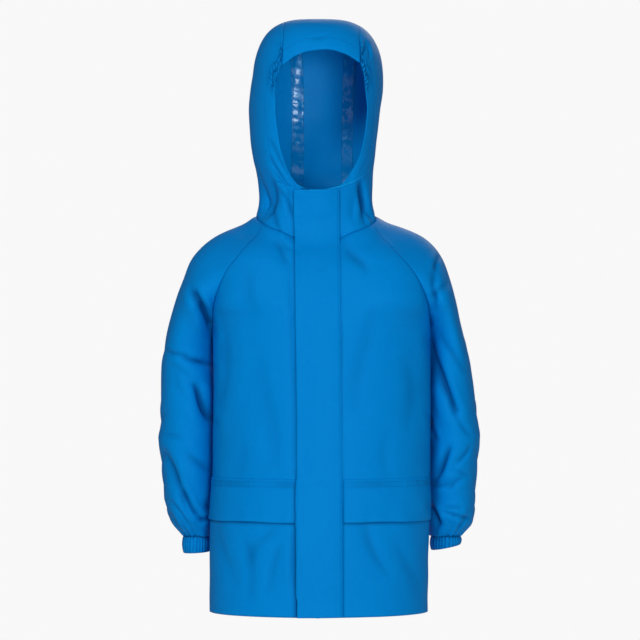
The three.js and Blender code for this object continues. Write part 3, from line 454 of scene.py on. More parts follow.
def clothPiece(name, outer, normals, materials, wall=coat["clothWall"], closed=False, paintedShadeAndShine=None):
    # a closed thin shell from a grid; materials are (outside, inside)
    places = np.concatenate([outer.reshape(-1, 3), (outer - normals * wall).reshape(-1, 3)]) / 1000
    faces = shellFaces(*outer.shape[:2], closed)
    quads = np.concatenate(faces)
    mesh = bpy.data.meshes.new(name)
    mesh.from_pydata(places.tolist(), [], quads.tolist())
    slots = np.zeros(len(quads), dtype=np.int32)
    slots[len(faces[0]):2 * len(faces[0])] = 1
    for material in materials:
        mesh.materials.append(material)
    mesh.polygons.foreach_set("material_index", slots)
    u = arcLengths(outer, 1).ravel()
    v = arcLengths(outer, 0).ravel()
    flat = np.stack([np.concatenate([u, u]), np.concatenate([v, v])], axis=1) / 1000
    corners = np.empty(len(mesh.loops), dtype=np.int32)
    mesh.loops.foreach_get("vertex_index", corners)
    mesh.uv_layers.new(name="cloth").data.foreach_set("uv", flat[corners].astype(np.float32).ravel())
    if paintedShadeAndShine is not None:           # painted shade in the cloth's creases and shadows, or a tape's painted highlights
        shade = mesh.attributes.new("crease", "FLOAT", "POINT")
        inside = paintedShadeAndShine * (materials[0] == materials[1])
        shade.data.foreach_set("value", np.concatenate([paintedShadeAndShine, inside]).astype(np.float32).ravel())
    mesh.shade_smooth()
    mesh.validate()
    mesh.update()
    return linked(name, mesh)


def oriented(side, grid):
    return grid if side > 0 else grid[:, ::-1]


# Body: two fronts, a back and two raglan sleeves that run up to the neck.
body = {
    "zipHalf": 4.0,
    "yokeRows": 60,
    "frontColumns": 66,
    "sleeveHalf": 72,
    "seamReach": 4.0,        # cells over which two panels come to share one direction
    "gatherWaves": 38,       # at the sleeve's end, into the cuff
    "gatherRise": 1.0,
    "gatherRun": 11.0,
    "foldRise": 1.1,         # larger folds that fan out above the cuff
    "foldRun": 44.0,
    "soft": 0.42,            # of the waves that keep the cloth from lying flat
    "underarmOut": 1.8,      # how far the plain side of a sleeve reaches towards the body
    "underarmFadeIn": 20.0,
    "armholeFade": 30.0,     # below which a sleeve is as round as its table says
    "armholeRows": 8,        # evened on each side of the armhole, on the sleeves
    "chestRows": 7,          # and on the fronts and the back
}
sides = ((1, "left"), (-1, "right"))
yokeSteps = np.linspace(0, 1, body["yokeRows"])
yokeDown = yokeSteps[:-1]
torsoLevels = rowsBetween(coat["sleeveTop"], coat["hemHeight"], coat["cellSize"])
sleeveLevels = rowsBetween(coat["sleeveTop"], coat["sleeveEnd"] + 0.2, coat["cellSize"])
joinRow = len(yokeDown)


def panelHalf(side, face, columns, startAt):
    arc = joinArcs(yokeArcs(side, yokeDown, face)[0], torsoArc(side, torsoLevels, face))
    start = stepAt(arc, startAt) if startAt else np.zeros((len(arc[0]), 1))
    t = start + (1 - start) * np.linspace(0, 1, columns)[None, :]
    return smoothNear(withHem(onArc(arc, t)), joinRow, body["chestRows"])


def sleeveGrid(side):
    steps = np.linspace(0, 1, body["sleeveHalf"] + 1)
    ahead = onArc(yokeArcs(side, yokeSteps, -1)[1], steps)
    behind = onArc(yokeArcs(side, yokeSteps, 1)[1], steps[:-1][::-1])
    yoke = np.concatenate([ahead, behind], axis=1)
    rings = sleeveRing(side, sleeveLevels, np.linspace(0, 1, 2 * body["sleeveHalf"] + 1))
    fade = np.exp(-(coat["sleeveTop"] - sleeveLevels) / body["armholeFade"])[:, None, None]
    rings = rings + (yoke[-1:] - rings[:1]) * fade
    rings[..., 2] = sleeveLevels[:, None]
    grid = smoothNear(np.concatenate([yoke[:-1], rings]), joinRow, body["armholeRows"])
    grid[joinRow:, -1] = grid[joinRow:, 0]
    return grid


def leanTo(normals, edge, target):
    # turns the directions near one edge of a grid towards the shared ones
    across = normals.swapaxes(0, 1)
    view = {"top": normals, "start": across, "end": across[::-1]}[edge]
    turn = target - view[0]
    for k in range(min(12, view.shape[0])):
        view[k] = unit(view[k] + turn * math.exp(-(k / body["seamReach"]) ** 2))


def levelled(row):
    # straight outwards from the neck
    return unit(row * np.array([1.0, 1.0, 0.0]))


panels = {}
for side, name in sides:
    panels[f"front_{name}"] = oriented(side, panelHalf(side, -1, body["frontColumns"], body["zipHalf"]))
    panels[f"sleeve_{name}"] = oriented(side, sleeveGrid(side))
backHalves = {side: panelHalf(side, 1, body["frontColumns"], 0) for side in (1, -1)}
panels["back"] = np.concatenate([backHalves[1][:, ::-1], backHalves[-1][:, 1:]], axis=1)
normals = {name: gridNormals(grid) for name, grid in panels.items()}


def edgeWays(name, edge):
    return normals[name][:, 0 if edge == "start" else -1].copy()


# Panels that are sewn together share their directions along the seam, so no gap opens there.
for side, name in sides:
    first, last = ("start", "end") if side > 0 else ("end", "start")
    front, ahead = edgeWays(f"front_{name}", last), edgeWays(f"sleeve_{name}", first)
    back, behind = edgeWays("back", first), edgeWays(f"sleeve_{name}", last)
    steady = vectors(0, 0, -0.35 * yokeSteps ** 2)
    upperFront = unit(front[:joinRow + 1] + ahead[:joinRow + 1] + steady)
    upperBack = unit(back[:joinRow + 1] + behind[:joinRow + 1] + steady)
    sideSeam = unit(front[joinRow + 1:] + back[joinRow + 1:])
    inside = unit(ahead[joinRow + 1:] + behind[joinRow + 1:])
    leanTo(normals[f"front_{name}"], last, np.concatenate([upperFront, sideSeam]))
    leanTo(normals["back"], first, np.concatenate([upperBack, sideSeam]))
    leanTo(normals[f"sleeve_{name}"], first, np.concatenate([upperFront, inside]))
    leanTo(normals[f"sleeve_{name}"], last, np.concatenate([upperBack, inside]))
for name, grid in panels.items():
    leanTo(normals[name], "top", levelled(grid[0]))


def trunkPanel(grid, directions, depth, sewn):
    shape = grid + directions * (softness(grid, body["soft"]) - depth)[..., None]
    return shape - directions * seamDip(shape.shape[:2], sewn)[..., None]


def sleevePanel(side, grid, directions, depth):
    # the side against the body stays plain, and the rest is gathered towards the cuff
    plain = np.clip(-1.3 * side * directions[..., 0] - 0.15, 0, 1)
    lowered = coat["sleeveTop"] + body["underarmFadeIn"] - grid[..., 2]
    plain = plain * np.clip(lowered / body["underarmFadeIn"], 0, 1)
    lift = softness(grid, body["soft"]) * (1 - plain) + body["underarmOut"] * plain - depth
    shape = grid + directions * lift[..., None]
    steps = np.linspace(0, 1, shape.shape[1])
    turn = 2 * math.pi * steps
    above = shape[..., 2] - coat["sleeveEnd"]
    fine = np.cos(body["gatherWaves"] * turn + 1.4 * np.sin(9 * steps) + side)[None, :]
    large = (np.cos(11 * turn + 2.2 * np.sin(3 * turn) + side)
             + 0.7 * np.cos(17 * turn + 1.7 * np.sin(2 * turn)))[None, :]
    rise = (np.clip(1 - above / body["gatherRun"], 0, 1) ** 1.5 * body["gatherRise"] * fine
            + np.clip(1 - above / body["foldRun"], 0, 1) ** 1.3 * body["foldRise"] * large)
    shape = shape + directions * (rise * (1 - 0.8 * plain))[..., None]
    dip = seamDip(shape.shape[:2], ("start", "end"))
    dip[joinRow + 2:] = 0                  # below the armhole the sleeve is one piece of cloth
    shape = shape - directions * dip[..., None]
    shape[joinRow:, -1] = shape[joinRow:, 0]
    return shape, depth + np.clip(-1.5 * rise, 0, 2.5) * (1 - plain)


depths = {name: creaseDepth(grid, normals[name]) for name, grid in panels.items()}
sewnSides = {"back": ("start", "end"), "front_left": ("end",), "front_right": ("start",)}
for name, sewn in sewnSides.items():
    panels[name] = trunkPanel(panels[name], normals[name], depths[name], sewn)
for side, name in sides:
    sleeveName = f"sleeve_{name}"
    panels[sleeveName], depths[sleeveName] = sleevePanel(
        side, panels[sleeveName], normals[sleeveName], depths[sleeveName])
print("scene: body panels", {name: grid.shape[:2] for name, grid in panels.items()})


# Hood: two sides and a centre strip over the crown, gathered at the upper corners.
hood = {
    "centre": np.array([0.0, 5.0, 140.0]),
    "roundness": 2.3,
    "domeStart": 170.0,
    "domeTop": 287.0,
    "domeRoundness": 3.3,
    "neckFade": math.radians(26),
    "chinTop": 46.0,
    "crownShare": 0.26,      # of the centre seam, along the top of each side panel
    "sideColumns": 110,
    "openingRows": 66,
    "gatherRows": 84,
    "zipRows": 30,
    "centreColumns": 48,
    "centreRows": 150,
    "gatherRise": 3.8,
    "tuck": 0.9,             # the hood's lower edge goes down inside the yoke's
    "neckEase": 6.0,
    "neckEaseRun": 16.0,
    "gatherWidth": 24.0,
    "soft": 0.34,
    "valleyShade": 8.0,      # painted shade: how dark the gathers' valleys are painted, beside the creases
    "level": 9.0,            # of cloth above the neck seam that looks straight outwards there
    "neckPoints": 14,        # on each of the four arcs of half the neck line
    "seamClear": 2.0,        # room between a panel's corner and the next point of the neck line
    "napeClear": 3.0,
}


def eased(points, far):
    # the cloth bridges the angle between neck and shoulder softly, beside and behind the neck
    level = unit(points * np.array([1.0, 1.0, 0.0]))
    away = np.clip((np.hypot(points[..., 0], np.maximum(points[..., 1], 0)) - 31) / 14, 0, 1)
    amount = hood["neckEase"] * np.exp(-((far / hood["neckEaseRun"]) ** 2)) * away
    return points + unit(level + np.array([0.0, 0.0, 1.0])) * amount[..., None]


for name in panels:
    panels[name] = eased(panels[name], arcLengths(panels[name], 0))
    normals[name] = gridNormals(panels[name])
hoodSection = table("z right left front back", [
    [-24, 84, 78, -62, 60],
    [0, 80, 74, -62, 60],
    [18, 71, 65, -65, 61],
    [32, 67, 62, -68, 64],
    [46, 72, 66, -72, 69],
    [62, 80, 73, -76, 76],
    [90, 90, 79, -81, 91],
    [125, 95, 83, -88, 103],
    [160, 97, 87, -94, 108],
    [190, 95, 91, -97, 108],
    [215, 92, 92, -99, 106],
    [290, 91, 91, -99, 104],
])


def hoodMeasure(points):
    z = points[..., 2]
    rise = np.clip((z - hood["domeStart"]) / (hood["domeTop"] - hood["domeStart"]), 0, 1)
    shrink = (1 - rise ** hood["domeRoundness"]) ** (1 / hood["domeRoundness"])
    right, left, front, back = (hoodSection[name](z) for name in ("right", "left", "front", "back"))
    across = np.abs(points[..., 0] - (left - right) / 2) / ((left + right) / 2 * shrink + 1e-6)
    along = np.abs(points[..., 1] - (front + back) / 2) / ((back - front) / 2 * shrink + 1e-6)
    value = np.minimum(across, 9) ** hood["roundness"] + np.minimum(along, 9) ** hood["roundness"]
    return np.where(z >= hood["domeTop"], 2.0, value)


def plainRadius(way):
    def within(r):
        return hoodMeasure(hood["centre"] + way * r[..., None]) < 1

    return lastInside(within, 0, 400, way.shape[:-1])


def insideHood(points):
    away = points - hood["centre"]
    reach = hoodPoint(unit(away)) - hood["centre"]
    return np.linalg.norm(away, axis=-1) < np.linalg.norm(reach, axis=-1)


def azimuthOf(way):
    return np.arctan2(way[..., 0], -way[..., 1])


def elevationOf(way):
    return np.arctan2(way[..., 2], np.hypot(way[..., 0], way[..., 1]))


def neckPoint(side, face, part, t):
    arc = yokeArcs(side, np.zeros(1), face)[part]
    return onArc(arc, np.atleast_1d(t))[0]


def neckHalf(side):
    # half the neck line from the zip to the middle of the back, with the shoulder's point half-way
    t = np.arange(hood["neckPoints"]) / hood["neckPoints"]
    return np.concatenate([
        neckPoint(side, -1, 0, t), neckPoint(side, -1, 1, t),
        neckPoint(side, 1, 1, 1 - t), neckPoint(side, 1, 0, 1 - t), neckPoint(side, 1, 0, 0)])


neckFit = {}
for side in (-1, 1):
    line = neckHalf(side)
    ways = unit(line - hood["centre"])
    azimuths = np.abs(azimuthOf(ways))
    azimuths[-1] = math.pi
    reach = np.linalg.norm(line - hood["centre"], axis=1) / plainRadius(ways)
    neckFit[side] = (curveThrough(azimuths, elevationOf(ways)), curveThrough(azimuths, reach))


def hoodPoint(way):
    azimuth = np.abs(azimuthOf(way))
    elevation, stretch = (np.where(way[..., 0] < 0, neckFit[-1][i](azimuth), neckFit[1][i](azimuth))
                          for i in (0, 1))
    above = (elevationOf(way) - elevation) / hood["neckFade"]
    fade = np.clip(1 - above, 0, 1) ** 2
    return hood["centre"] + way * (plainRadius(way) * (1 + (stretch - 1) * fade))[..., None]


def hoodNormal(points):
    # from the hood's form itself, so that all its panels agree where they meet
    way = unit(points - hood["centre"])
    aside = unit(np.cross(way, vectors(0.13, 0.21, 1) * np.ones_like(way)))
    upward = np.cross(aside, way)
    step = 0.012
    ahead = hoodPoint(unit(way + aside * step)) - hoodPoint(unit(way - aside * step))
    over = hoodPoint(unit(way + upward * step)) - hoodPoint(unit(way - upward * step))
    normal = unit(np.cross(ahead, over))
    return normal * np.sign(dots(normal, way))


def hoodFront(x, z):
    x, z = np.broadcast_arrays(np.asarray(x, float), np.asarray(z, float))

    def within(minusY):
        return insideHood(vectors(x, -minusY, z))

    return vectors(x, -lastInside(within, 0, 150, x.shape, 26), z)


def evenly(points, count):
    points = np.asarray(points, float)
    travelled = np.concatenate([[0], np.cumsum(np.linalg.norm(np.diff(points, axis=0), axis=1))])
    at = np.linspace(0, travelled[-1], count + 1)
    return np.stack([curveThrough(travelled, column)(at) for column in points.T], axis=1)


# The face opening, seen from the front: x and z from the zip up to the gathers, then the brim.
openingEdge = {
    -1: [[-4, 47], [-15.7, 48.6], [-28.5, 54.5], [-44.2, 79], [-54, 115.4], [-58.9, 159.5], [-57.9, 186]],
    1: [[4, 47], [18.7, 47.6], [31.4, 53.5], [45.2, 70.2], [59.9, 98.7], [66.8, 135], [68.7, 159.5],
        [64.8, 186]],
}
gatheredEdge = {
    -1: [[-57.9, 186], [-56, 201.7], [-49.1, 217.4]],
    1: [[64.8, 186], [62.8, 203.7], [57.9, 221.4]],
}
brimEdge = [[-49.1, 217.4], [-31.4, 230.2], [-10.8, 237.1], [12.8, 239], [37.3, 233.2], [57.9, 221.4]]
centreSeam = table("along right left", [
    [0, 50, 59], [0.15, 47, 56], [0.3, 38, 50], [0.45, 31, 45], [0.6, 29, 43], [0.8, 29, 42], [1, 30, 42],
])


def neckAt(side, face, reach):
    # the point of the neck line that lies so far from the centre
    return neckPoint(side, face, 0, lastInside(
        lambda t: np.abs(neckPoint(side, face, 0, t)[..., 0]) < reach, 0, 1, (1,)))[0]


def hoodSeam(side, corner, along):
    reach = centreSeam["left" if side > 0 else "right"]
    end = neckAt(side, 1, reach(1.0))
    centre = hood["centre"]
    first, last = (math.atan2(point[2] - centre[2], point[1] - centre[1]) for point in (corner, end))
    angle = first + (last - first) * along

    def place(r):
        return vectors(side * reach(along), centre[1] + r * np.cos(angle), centre[2] + r * np.sin(angle))

    row = place(lastInside(lambda r: insideHood(place(r)), 0, 300, along.shape))
    row[along == 0] = corner
    row[along == 1] = end
    return row


def sideChart(side):
    def read(points):
        way = unit(points - hood["centre"])
        return np.stack([np.abs(azimuthOf(way)), elevationOf(way)], axis=-1)

    def write(angles):
        azimuth, elevation = angles[..., 0], angles[..., 1]
        return vectors(side * np.cos(elevation) * np.sin(azimuth),
                       -np.cos(elevation) * np.cos(azimuth), np.sin(elevation))

    return read, write


def crownRead(points):
    way = unit(points - hood["centre"])
    return np.stack([np.arctan2(way[:, 2], way[:, 1]),
                     np.arctan2(way[:, 0], np.hypot(way[:, 1], way[:, 2]))], axis=-1)


def crownWrite(angles):
    over, across = angles[..., 0], angles[..., 1]
    return vectors(np.sin(across), np.cos(across) * np.cos(over), np.cos(across) * np.sin(over))


def hoodPatch(bottom, top, fore, aft, chart):
    # fills four edges on the hood's form
    read, write = chart
    low, high, start, end = (read(line) for line in (bottom, top, fore, aft))
    s = np.linspace(0, 1, len(bottom))[None, :, None]
    t = np.linspace(0, 1, len(fore))[:, None, None]
    angles = ((1 - t) * low[None] + t * high[None] + (1 - s) * start[:, None] + s * end[:, None]
              - (1 - t) * ((1 - s) * low[0] + s * low[-1]) - t * ((1 - s) * high[0] + s * high[-1]))
    grid = hoodPoint(write(angles))
    grid[0], grid[-1], grid[:, 0], grid[:, -1] = bottom, top, fore, aft
    return grid


def flatLine(pairs, count):
    line = evenly(pairs, count)
    return hoodFront(line[:, 0], line[:, 1])


brimRow = flatLine(brimEdge, hood["centreColumns"])
hoodPanels = {}
for side, name in sides:
    corner = brimRow[-1] if side > 0 else brimRow[0]
    columns = hood["sideColumns"]
    ahead = int(columns * 0.58)
    start = neckAt(side, -1, body["zipHalf"])
    line = neckHalf(side)
    seamEnd = hoodSeam(side, corner, np.array([1.0]))[0]
    tip = 2 * hood["neckPoints"]
    before = [point for point in line[1:tip] if abs(point[0]) > body["zipHalf"] + hood["seamClear"]]
    behind = [point for point in line[tip + 1:] if abs(point[0]) > abs(seamEnd[0]) + hood["seamClear"]]
    bottom = np.concatenate([evenly([start, *before, line[tip]], ahead),
                             evenly([line[tip], *behind, seamEnd], columns - ahead)[1:]])
    zipZ = np.linspace(start[2], hood["chinTop"] + 1, hood["zipRows"] + 1)
    zipEdge = hoodFront(side * body["zipHalf"] + 0 * zipZ, zipZ)
    zipEdge[0] = start
    fore = np.concatenate([zipEdge, flatLine(openingEdge[side], hood["openingRows"])[1:],
                           flatLine(gatheredEdge[side], hood["gatherRows"])[1:]])
    fore[-1] = corner
    top = evenly(hoodSeam(side, corner, np.linspace(0, hood["crownShare"], 24)), columns)
    aft = hoodSeam(side, corner, np.linspace(1, hood["crownShare"], len(fore)))
    top[-1] = aft[-1]
    bottom[-1] = aft[0]
    grid = hoodPatch(bottom, top, fore, aft, sideChart(side))[::-1]
    hoodPanels[f"hood_side_{name}"] = oriented(side, grid)
along = np.linspace(0, 1, hood["centreRows"] + 1)
rightSeam = hoodSeam(-1, brimRow[0], along)
leftSeam = hoodSeam(1, brimRow[-1], along)
t = np.linspace(0, 1, 30)
napeLeft = neckPoint(1, 1, 0, t)
napeRight = neckPoint(-1, 1, 0, t)[::-1]
napeLeft = napeLeft[np.abs(napeLeft[:, 0]) < abs(leftSeam[-1][0]) - hood["napeClear"]]
napeRight = napeRight[np.abs(napeRight[:, 0]) < abs(rightSeam[-1][0]) - hood["napeClear"]]
nape = np.concatenate([rightSeam[-1:], napeRight[:-1], napeLeft, leftSeam[-1:]])
nape = evenly(nape, hood["centreColumns"])
crown = hoodPatch(brimRow, nape, rightSeam, leftSeam, (crownRead, crownWrite))
hoodPanels["hood_centre"] = crown[:, ::-1]


def scrunch(fromEdge, fromSeam, side):
    # elastic draws the cloth up in crossing creases along the edge and a little up the seam; the valleys get
    # painted shade
    beside = np.clip(1.25 * (1 - fromEdge / hood["gatherWidth"]), 0, 1)
    beside = beside * np.clip(2.5 * (1 - fromSeam / 52), 0, 1)
    upSeam = np.clip(1.6 * (1 - fromSeam / 9), 0, 1) * np.clip(2 * (1 - fromEdge / 40), 0, 1)
    weight = np.maximum(beside, upSeam)
    u = fromSeam + 1.9 * np.sin(fromEdge / 2.6 + side) + 0.35 * fromEdge
    v = fromEdge + 2.0 * np.sin(fromSeam / 3.3 + 2 * side)
    net = np.sqrt(np.abs(np.sin(math.pi * u / 6.0) * np.sin(math.pi * v / 8.5 + 0.5)))
    uneven = 0.8 + 0.3 * np.sin(fromSeam / 5.1 + side) * np.sin(fromEdge / 3.7)
    return hood["gatherRise"] * weight * uneven * (net - 0.25), weight * np.exp(-((net / 0.56) ** 2))


for name, grid in hoodPanels.items():
    direction = hoodNormal(grid)
    nearNeck = np.exp(-((arcLengths(grid[::-1], 0)[::-1]) / hood["level"]) ** 2)[..., None]
    direction = unit(direction * (1 - nearNeck) + levelled(grid[-1:]) * nearNeck)
    depths[name] = creaseDepth(grid, direction)
    shape = grid + direction * (softness(grid, hood["soft"]) - depths[name])[..., None]
    shape[-1, :, 2] -= hood["tuck"]
    shape = eased(shape, arcLengths(shape[::-1], 0)[::-1])
    sewn = ("start", "end")
    if name != "hood_centre":
        side = 1 if name.endswith("left") else -1
        sewn = ("top", "end" if side > 0 else "start")
        fromEdge = oriented(side, arcLengths(oriented(side, grid), 1))
        rise, valleyPaintedShade = scrunch(fromEdge, arcLengths(grid, 0), side)
        shape = shape + direction * rise[..., None]
        # painted shade in the gathers' valleys, through the depth that sets the crease shade
        depths[name] = depths[name] + hood["valleyShade"] * valleyPaintedShade
    shape = shape - direction * seamDip(shape.shape[:2], sewn, 0.2)[..., None]
    panels[name] = shape
    normals[name] = gridNormals(shape)
print("scene: hood", {name: grid.shape[:2] for name, grid in hoodPanels.items()})


# Materials: the effects are shared, and each cloth sets its own amounts.
def newGroup(name, inputs, outputs):
    group = bpy.data.node_groups.new(name, "ShaderNodeTree")
    for label, value in inputs:
        socket = group.interface.new_socket(name=label, in_out="INPUT", socket_type="NodeSocketFloat")
        socket.default_value = value
    for label in outputs:
        group.interface.new_socket(name=label, in_out="OUTPUT", socket_type="NodeSocketFloat")
    return group, group.nodes.new("NodeGroupInput").outputs, group.nodes.new("NodeGroupOutput").inputs


def feed(tree, value, socket):
    # a link from another node, or a fixed amount
    if isinstance(value, bpy.types.NodeSocket):
        tree.links.new(value, socket)
    else:
        socket.default_value = value


def mathNode(tree, operation, *values):
    node = tree.nodes.new("ShaderNodeMath")
    node.operation = operation
    for place, value in enumerate(values):
        feed(tree, value, node.inputs[place])
    return node.outputs[0]


def mixNode(tree, factor, first, second):
    node = tree.nodes.new("ShaderNodeMix")
    node.data_type = "RGBA"
    for label, value in (("Factor", factor), ("A", first), ("B", second)):
        feed(tree, value, node.inputs[label])
    return node.outputs["Result"]


def noiseNode(tree, coordinates, scale, detail, roughness):
    node = tree.nodes.new("ShaderNodeTexNoise")
    feed(tree, coordinates, node.inputs["Vector"])
    for label, value in (("Scale", scale), ("Detail", detail), ("Roughness", roughness)):
        feed(tree, value, node.inputs[label])
    return node.outputs["Fac"]


def paintedLightNode(tree):
    node = tree.nodes.new("ShaderNodeAttribute")
    node.attribute_name = "crease"
    return node.outputs["Fac"]


def placedGroup(tree, group, **amounts):
    node = tree.nodes.new("ShaderNodeGroup")
    node.node_tree = group
    for label, value in amounts.items():
        node.inputs[label].default_value = value
    return node.outputs


def weaveGroup():
    group, given, result = newGroup("weave", [("Threads", 2100.0), ("Depth", 0.00002)], ["Height", "Tone"])
    flat = group.nodes.new("ShaderNodeUVMap")
    flat.uv_map = "cloth"
    split = group.nodes.new("ShaderNodeSeparateXYZ")
    group.links.new(flat.outputs["UV"], split.inputs[0])
    turns = mathNode(group, "MULTIPLY", given["Threads"], math.pi)
    over = mathNode(group, "SINE", mathNode(group, "MULTIPLY", split.outputs["X"], turns))
    under = mathNode(group, "SINE", mathNode(group, "MULTIPLY", split.outputs["Y"], turns))
    cross = mathNode(group, "MULTIPLY", over, under)
    group.links.new(mathNode(group, "MULTIPLY", cross, given["Depth"]), result["Height"])
    group.links.new(mathNode(group, "MULTIPLY_ADD", cross, 0.5, 0.5), result["Tone"])
    return group


def crumpleGroup():
    # small soft wrinkles that are finer than the mesh, slow changes of tone, and patches that place the
    # tape's painted highlights
    group, given, result = newGroup(
        "crumple", [("Fine", 0.0002), ("Broad", 0.0006)], ["Height", "Tone", "Wear", "Patch"])
    place = group.nodes.new("ShaderNodeTexCoord").outputs["Object"]
    centred = mathNode(group, "SUBTRACT", noiseNode(group, place, 42.0, 3.0, 0.5), 0.5)
    ridged = mathNode(group, "ABSOLUTE", centred)
    fine = mathNode(group, "MULTIPLY", noiseNode(group, place, 170.0, 4.0, 0.55), given["Fine"])
    broad = mathNode(group, "MULTIPLY", ridged, given["Broad"])
    group.links.new(mathNode(group, "ADD", fine, broad), result["Height"])
    group.links.new(noiseNode(group, place, 9.0, 2.0, 0.5), result["Tone"])
    group.links.new(noiseNode(group, place, 640.0, 2.0, 0.6), result["Wear"])
    group.links.new(noiseNode(group, place, 95.0, 3.0, 0.6), result["Patch"])
    return group


weave = weaveGroup()
crumple = crumpleGroup()


def clothMaterial(name, colour, shade, roughness, fine, broad, threads=2100.0, depth=0.00002, gloss=0.3,
                  glazed=0.0, paintedShine=False, paintsCreaseShade=False):
    material = bpy.data.materials.new(name)
    material.use_nodes = True
    tree = material.node_tree
    cloth = placedGroup(tree, weave, Threads=threads, Depth=depth)
    worn = placedGroup(tree, crumple, Fine=fine, Broad=broad)
    if paintedShine:                         # painted highlights on the tape, where the "crease" attribute marks them
        patches = mathNode(tree, "MULTIPLY_ADD", worn["Patch"], 7.0, -2.9)
        part = mathNode(tree, "MULTIPLY", paintedLightNode(tree), mathNode(tree, "MINIMUM", patches, 1.0))
    else:
        slow = mathNode(tree, "MULTIPLY", worn["Tone"], 0.6)
        part = mathNode(tree, "MULTIPLY_ADD", cloth["Tone"], 0.25, slow)
    base = mixNode(tree, part, (*colour, 1), (*shade, 1))
    if paintsCreaseShade:                        # painted shade: darker where the "crease" attribute marks creases and shadows
        base = mixNode(tree, paintedLightNode(tree), base, (0, colour[1] * 0.34, colour[2] * 0.42, 1))
    bump = tree.nodes.new("ShaderNodeBump")
    bump.inputs["Distance"].default_value = 1.0
    tree.links.new(mathNode(tree, "ADD", cloth["Height"], worn["Height"]), bump.inputs["Height"])
    looks = {
        "Base Color": base,
        "Roughness": mathNode(tree, "MULTIPLY_ADD", worn["Wear"], 0.1, roughness - 0.05),
        "Specular IOR Level": gloss,
        "Specular Tint": (0.25, 0.6, 1.0, 1),
        "Coat Weight": glazed,
        "Normal": bump.outputs["Normal"],
    }
    for label, value in looks.items():
        feed(tree, value, tree.nodes["Principled BSDF"].inputs[label])
    return material


shell = clothMaterial("shellCloth", colour=(0.0, 0.240, 0.680), shade=(0.0, 0.212, 0.612), roughness=0.55,
                      fine=0.00010, broad=0.0009, gloss=0.08, paintsCreaseShade=True)
lining = clothMaterial("coatedInside", colour=(0.0, 0.300, 0.760), shade=(0.0, 0.270, 0.690), roughness=0.42,
                       fine=0.00008, broad=0.0008, gloss=0.2)
# the tape's second colour is the pale tone of its painted highlights
seamTape = clothMaterial("seamTape", colour=(0.0, 0.250, 0.620), shade=(0.16, 0.42, 0.76), roughness=0.22,
                         fine=0.00045, broad=0.0035, gloss=0.6, glazed=0.4, paintedShine=True)
zipCloth = clothMaterial("zipCloth", colour=(0.0, 0.085, 0.26), shade=(0.0, 0.07, 0.22), roughness=0.7,
                         fine=0.00008, broad=0.0002, threads=1400.0, depth=0.00006)
thread = clothMaterial("thread", colour=(0.0, 0.155, 0.47), shade=(0.0, 0.125, 0.39), roughness=0.6,
                       fine=0.00005, broad=0.0, threads=3600.0, depth=0.00003, gloss=0.15)
toothPlastic = clothMaterial("toothPlastic", colour=(0.0, 0.075, 0.23), shade=(0.0, 0.06, 0.19),
                             roughness=0.35, fine=0.00003, broad=0.0, gloss=0.4)
print("scene: materials")


def keep(piece, materialSlot, *nodes):
    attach(piece, "root")
    if nodes:
        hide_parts(*nodes)


flap = {
    "wall": 1.3,
    "columns": 40,
    "top": 48.0,
    "edgeLift": 1.1,
    "overPocket": 2.7,       # more lift of the free edge, over the pocket and its flap
    "freeShade": 0.58,
    "overShade": 0.37,
    "sewnShade": 0.38,
}
flapLeft = curveThrough([-545, -284, -20, 50], [-28.1, -28.6, -32.2, -32.8])
flapRight = curveThrough([-545, -284, -20, 50], [34.4, 32.8, 30.2, 29.6])
pocket = {
    "start": {1: 34.5, -1: 28.6},
    "mouth": -381.0,
    "gap": 0.45,
    "wall": 0.9,
    "columns": 62,
}
pocketFlap = {
    "seam": -351.0,
    "edge": -410.5,
    "wall": 1.2,
    "rows": 44,
    "wavy": 0.5,
    "pucker": 0.28,
    "stitchRows": (-354.5, -362.5),
    "underShade": 0.85,      # on the pocket, just below the flap's edge
    "shadeRun": 6.5,
}


# painted shade, darker the deeper the crease
def creaseShade(depth):
    return np.clip(depth / 5.0, 0, 1) ** 1.15


def besideFlap(points):
    # cloth in the shadow of the storm flap, most where its free edge stands over a pocket
    x, z = points[..., 0], points[..., 2]
    over = np.clip((-349 - z) / 12, 0, 1)
    free = np.exp(-(((flapLeft(z) - x) / (2.5 + 2.0 * over)) ** 2))
    free = free * (flap["freeShade"] + flap["overShade"] * over)
    sewn = flap["sewnShade"] * np.exp(-(((x - flapRight(z)) / 1.8) ** 2))
    return np.maximum(free, sewn) * (points[..., 1] < 0) * np.clip((flap["top"] - z) / 4, 0, 1)


panelNames = {
    "front_left": "frontLeft", "front_right": "frontRight", "back": "backPanel",
    "sleeve_left": "sleeveLeft", "sleeve_right": "sleeveRight",
    "hood_side_left": "hoodSideLeft", "hood_side_right": "hoodSideRight", "hood_centre": "hoodCentre",
}
# painted shade in the creases and the painted shadow beside the storm flap
for node, name in panelNames.items():
    paintedShadeAndShine = np.maximum(creaseShade(depths[node]), besideFlap(panels[node]))
    keep(clothPiece(name, panels[node], normals[node], [shell, lining], paintedShadeAndShine=paintedShadeAndShine), "shell", node)

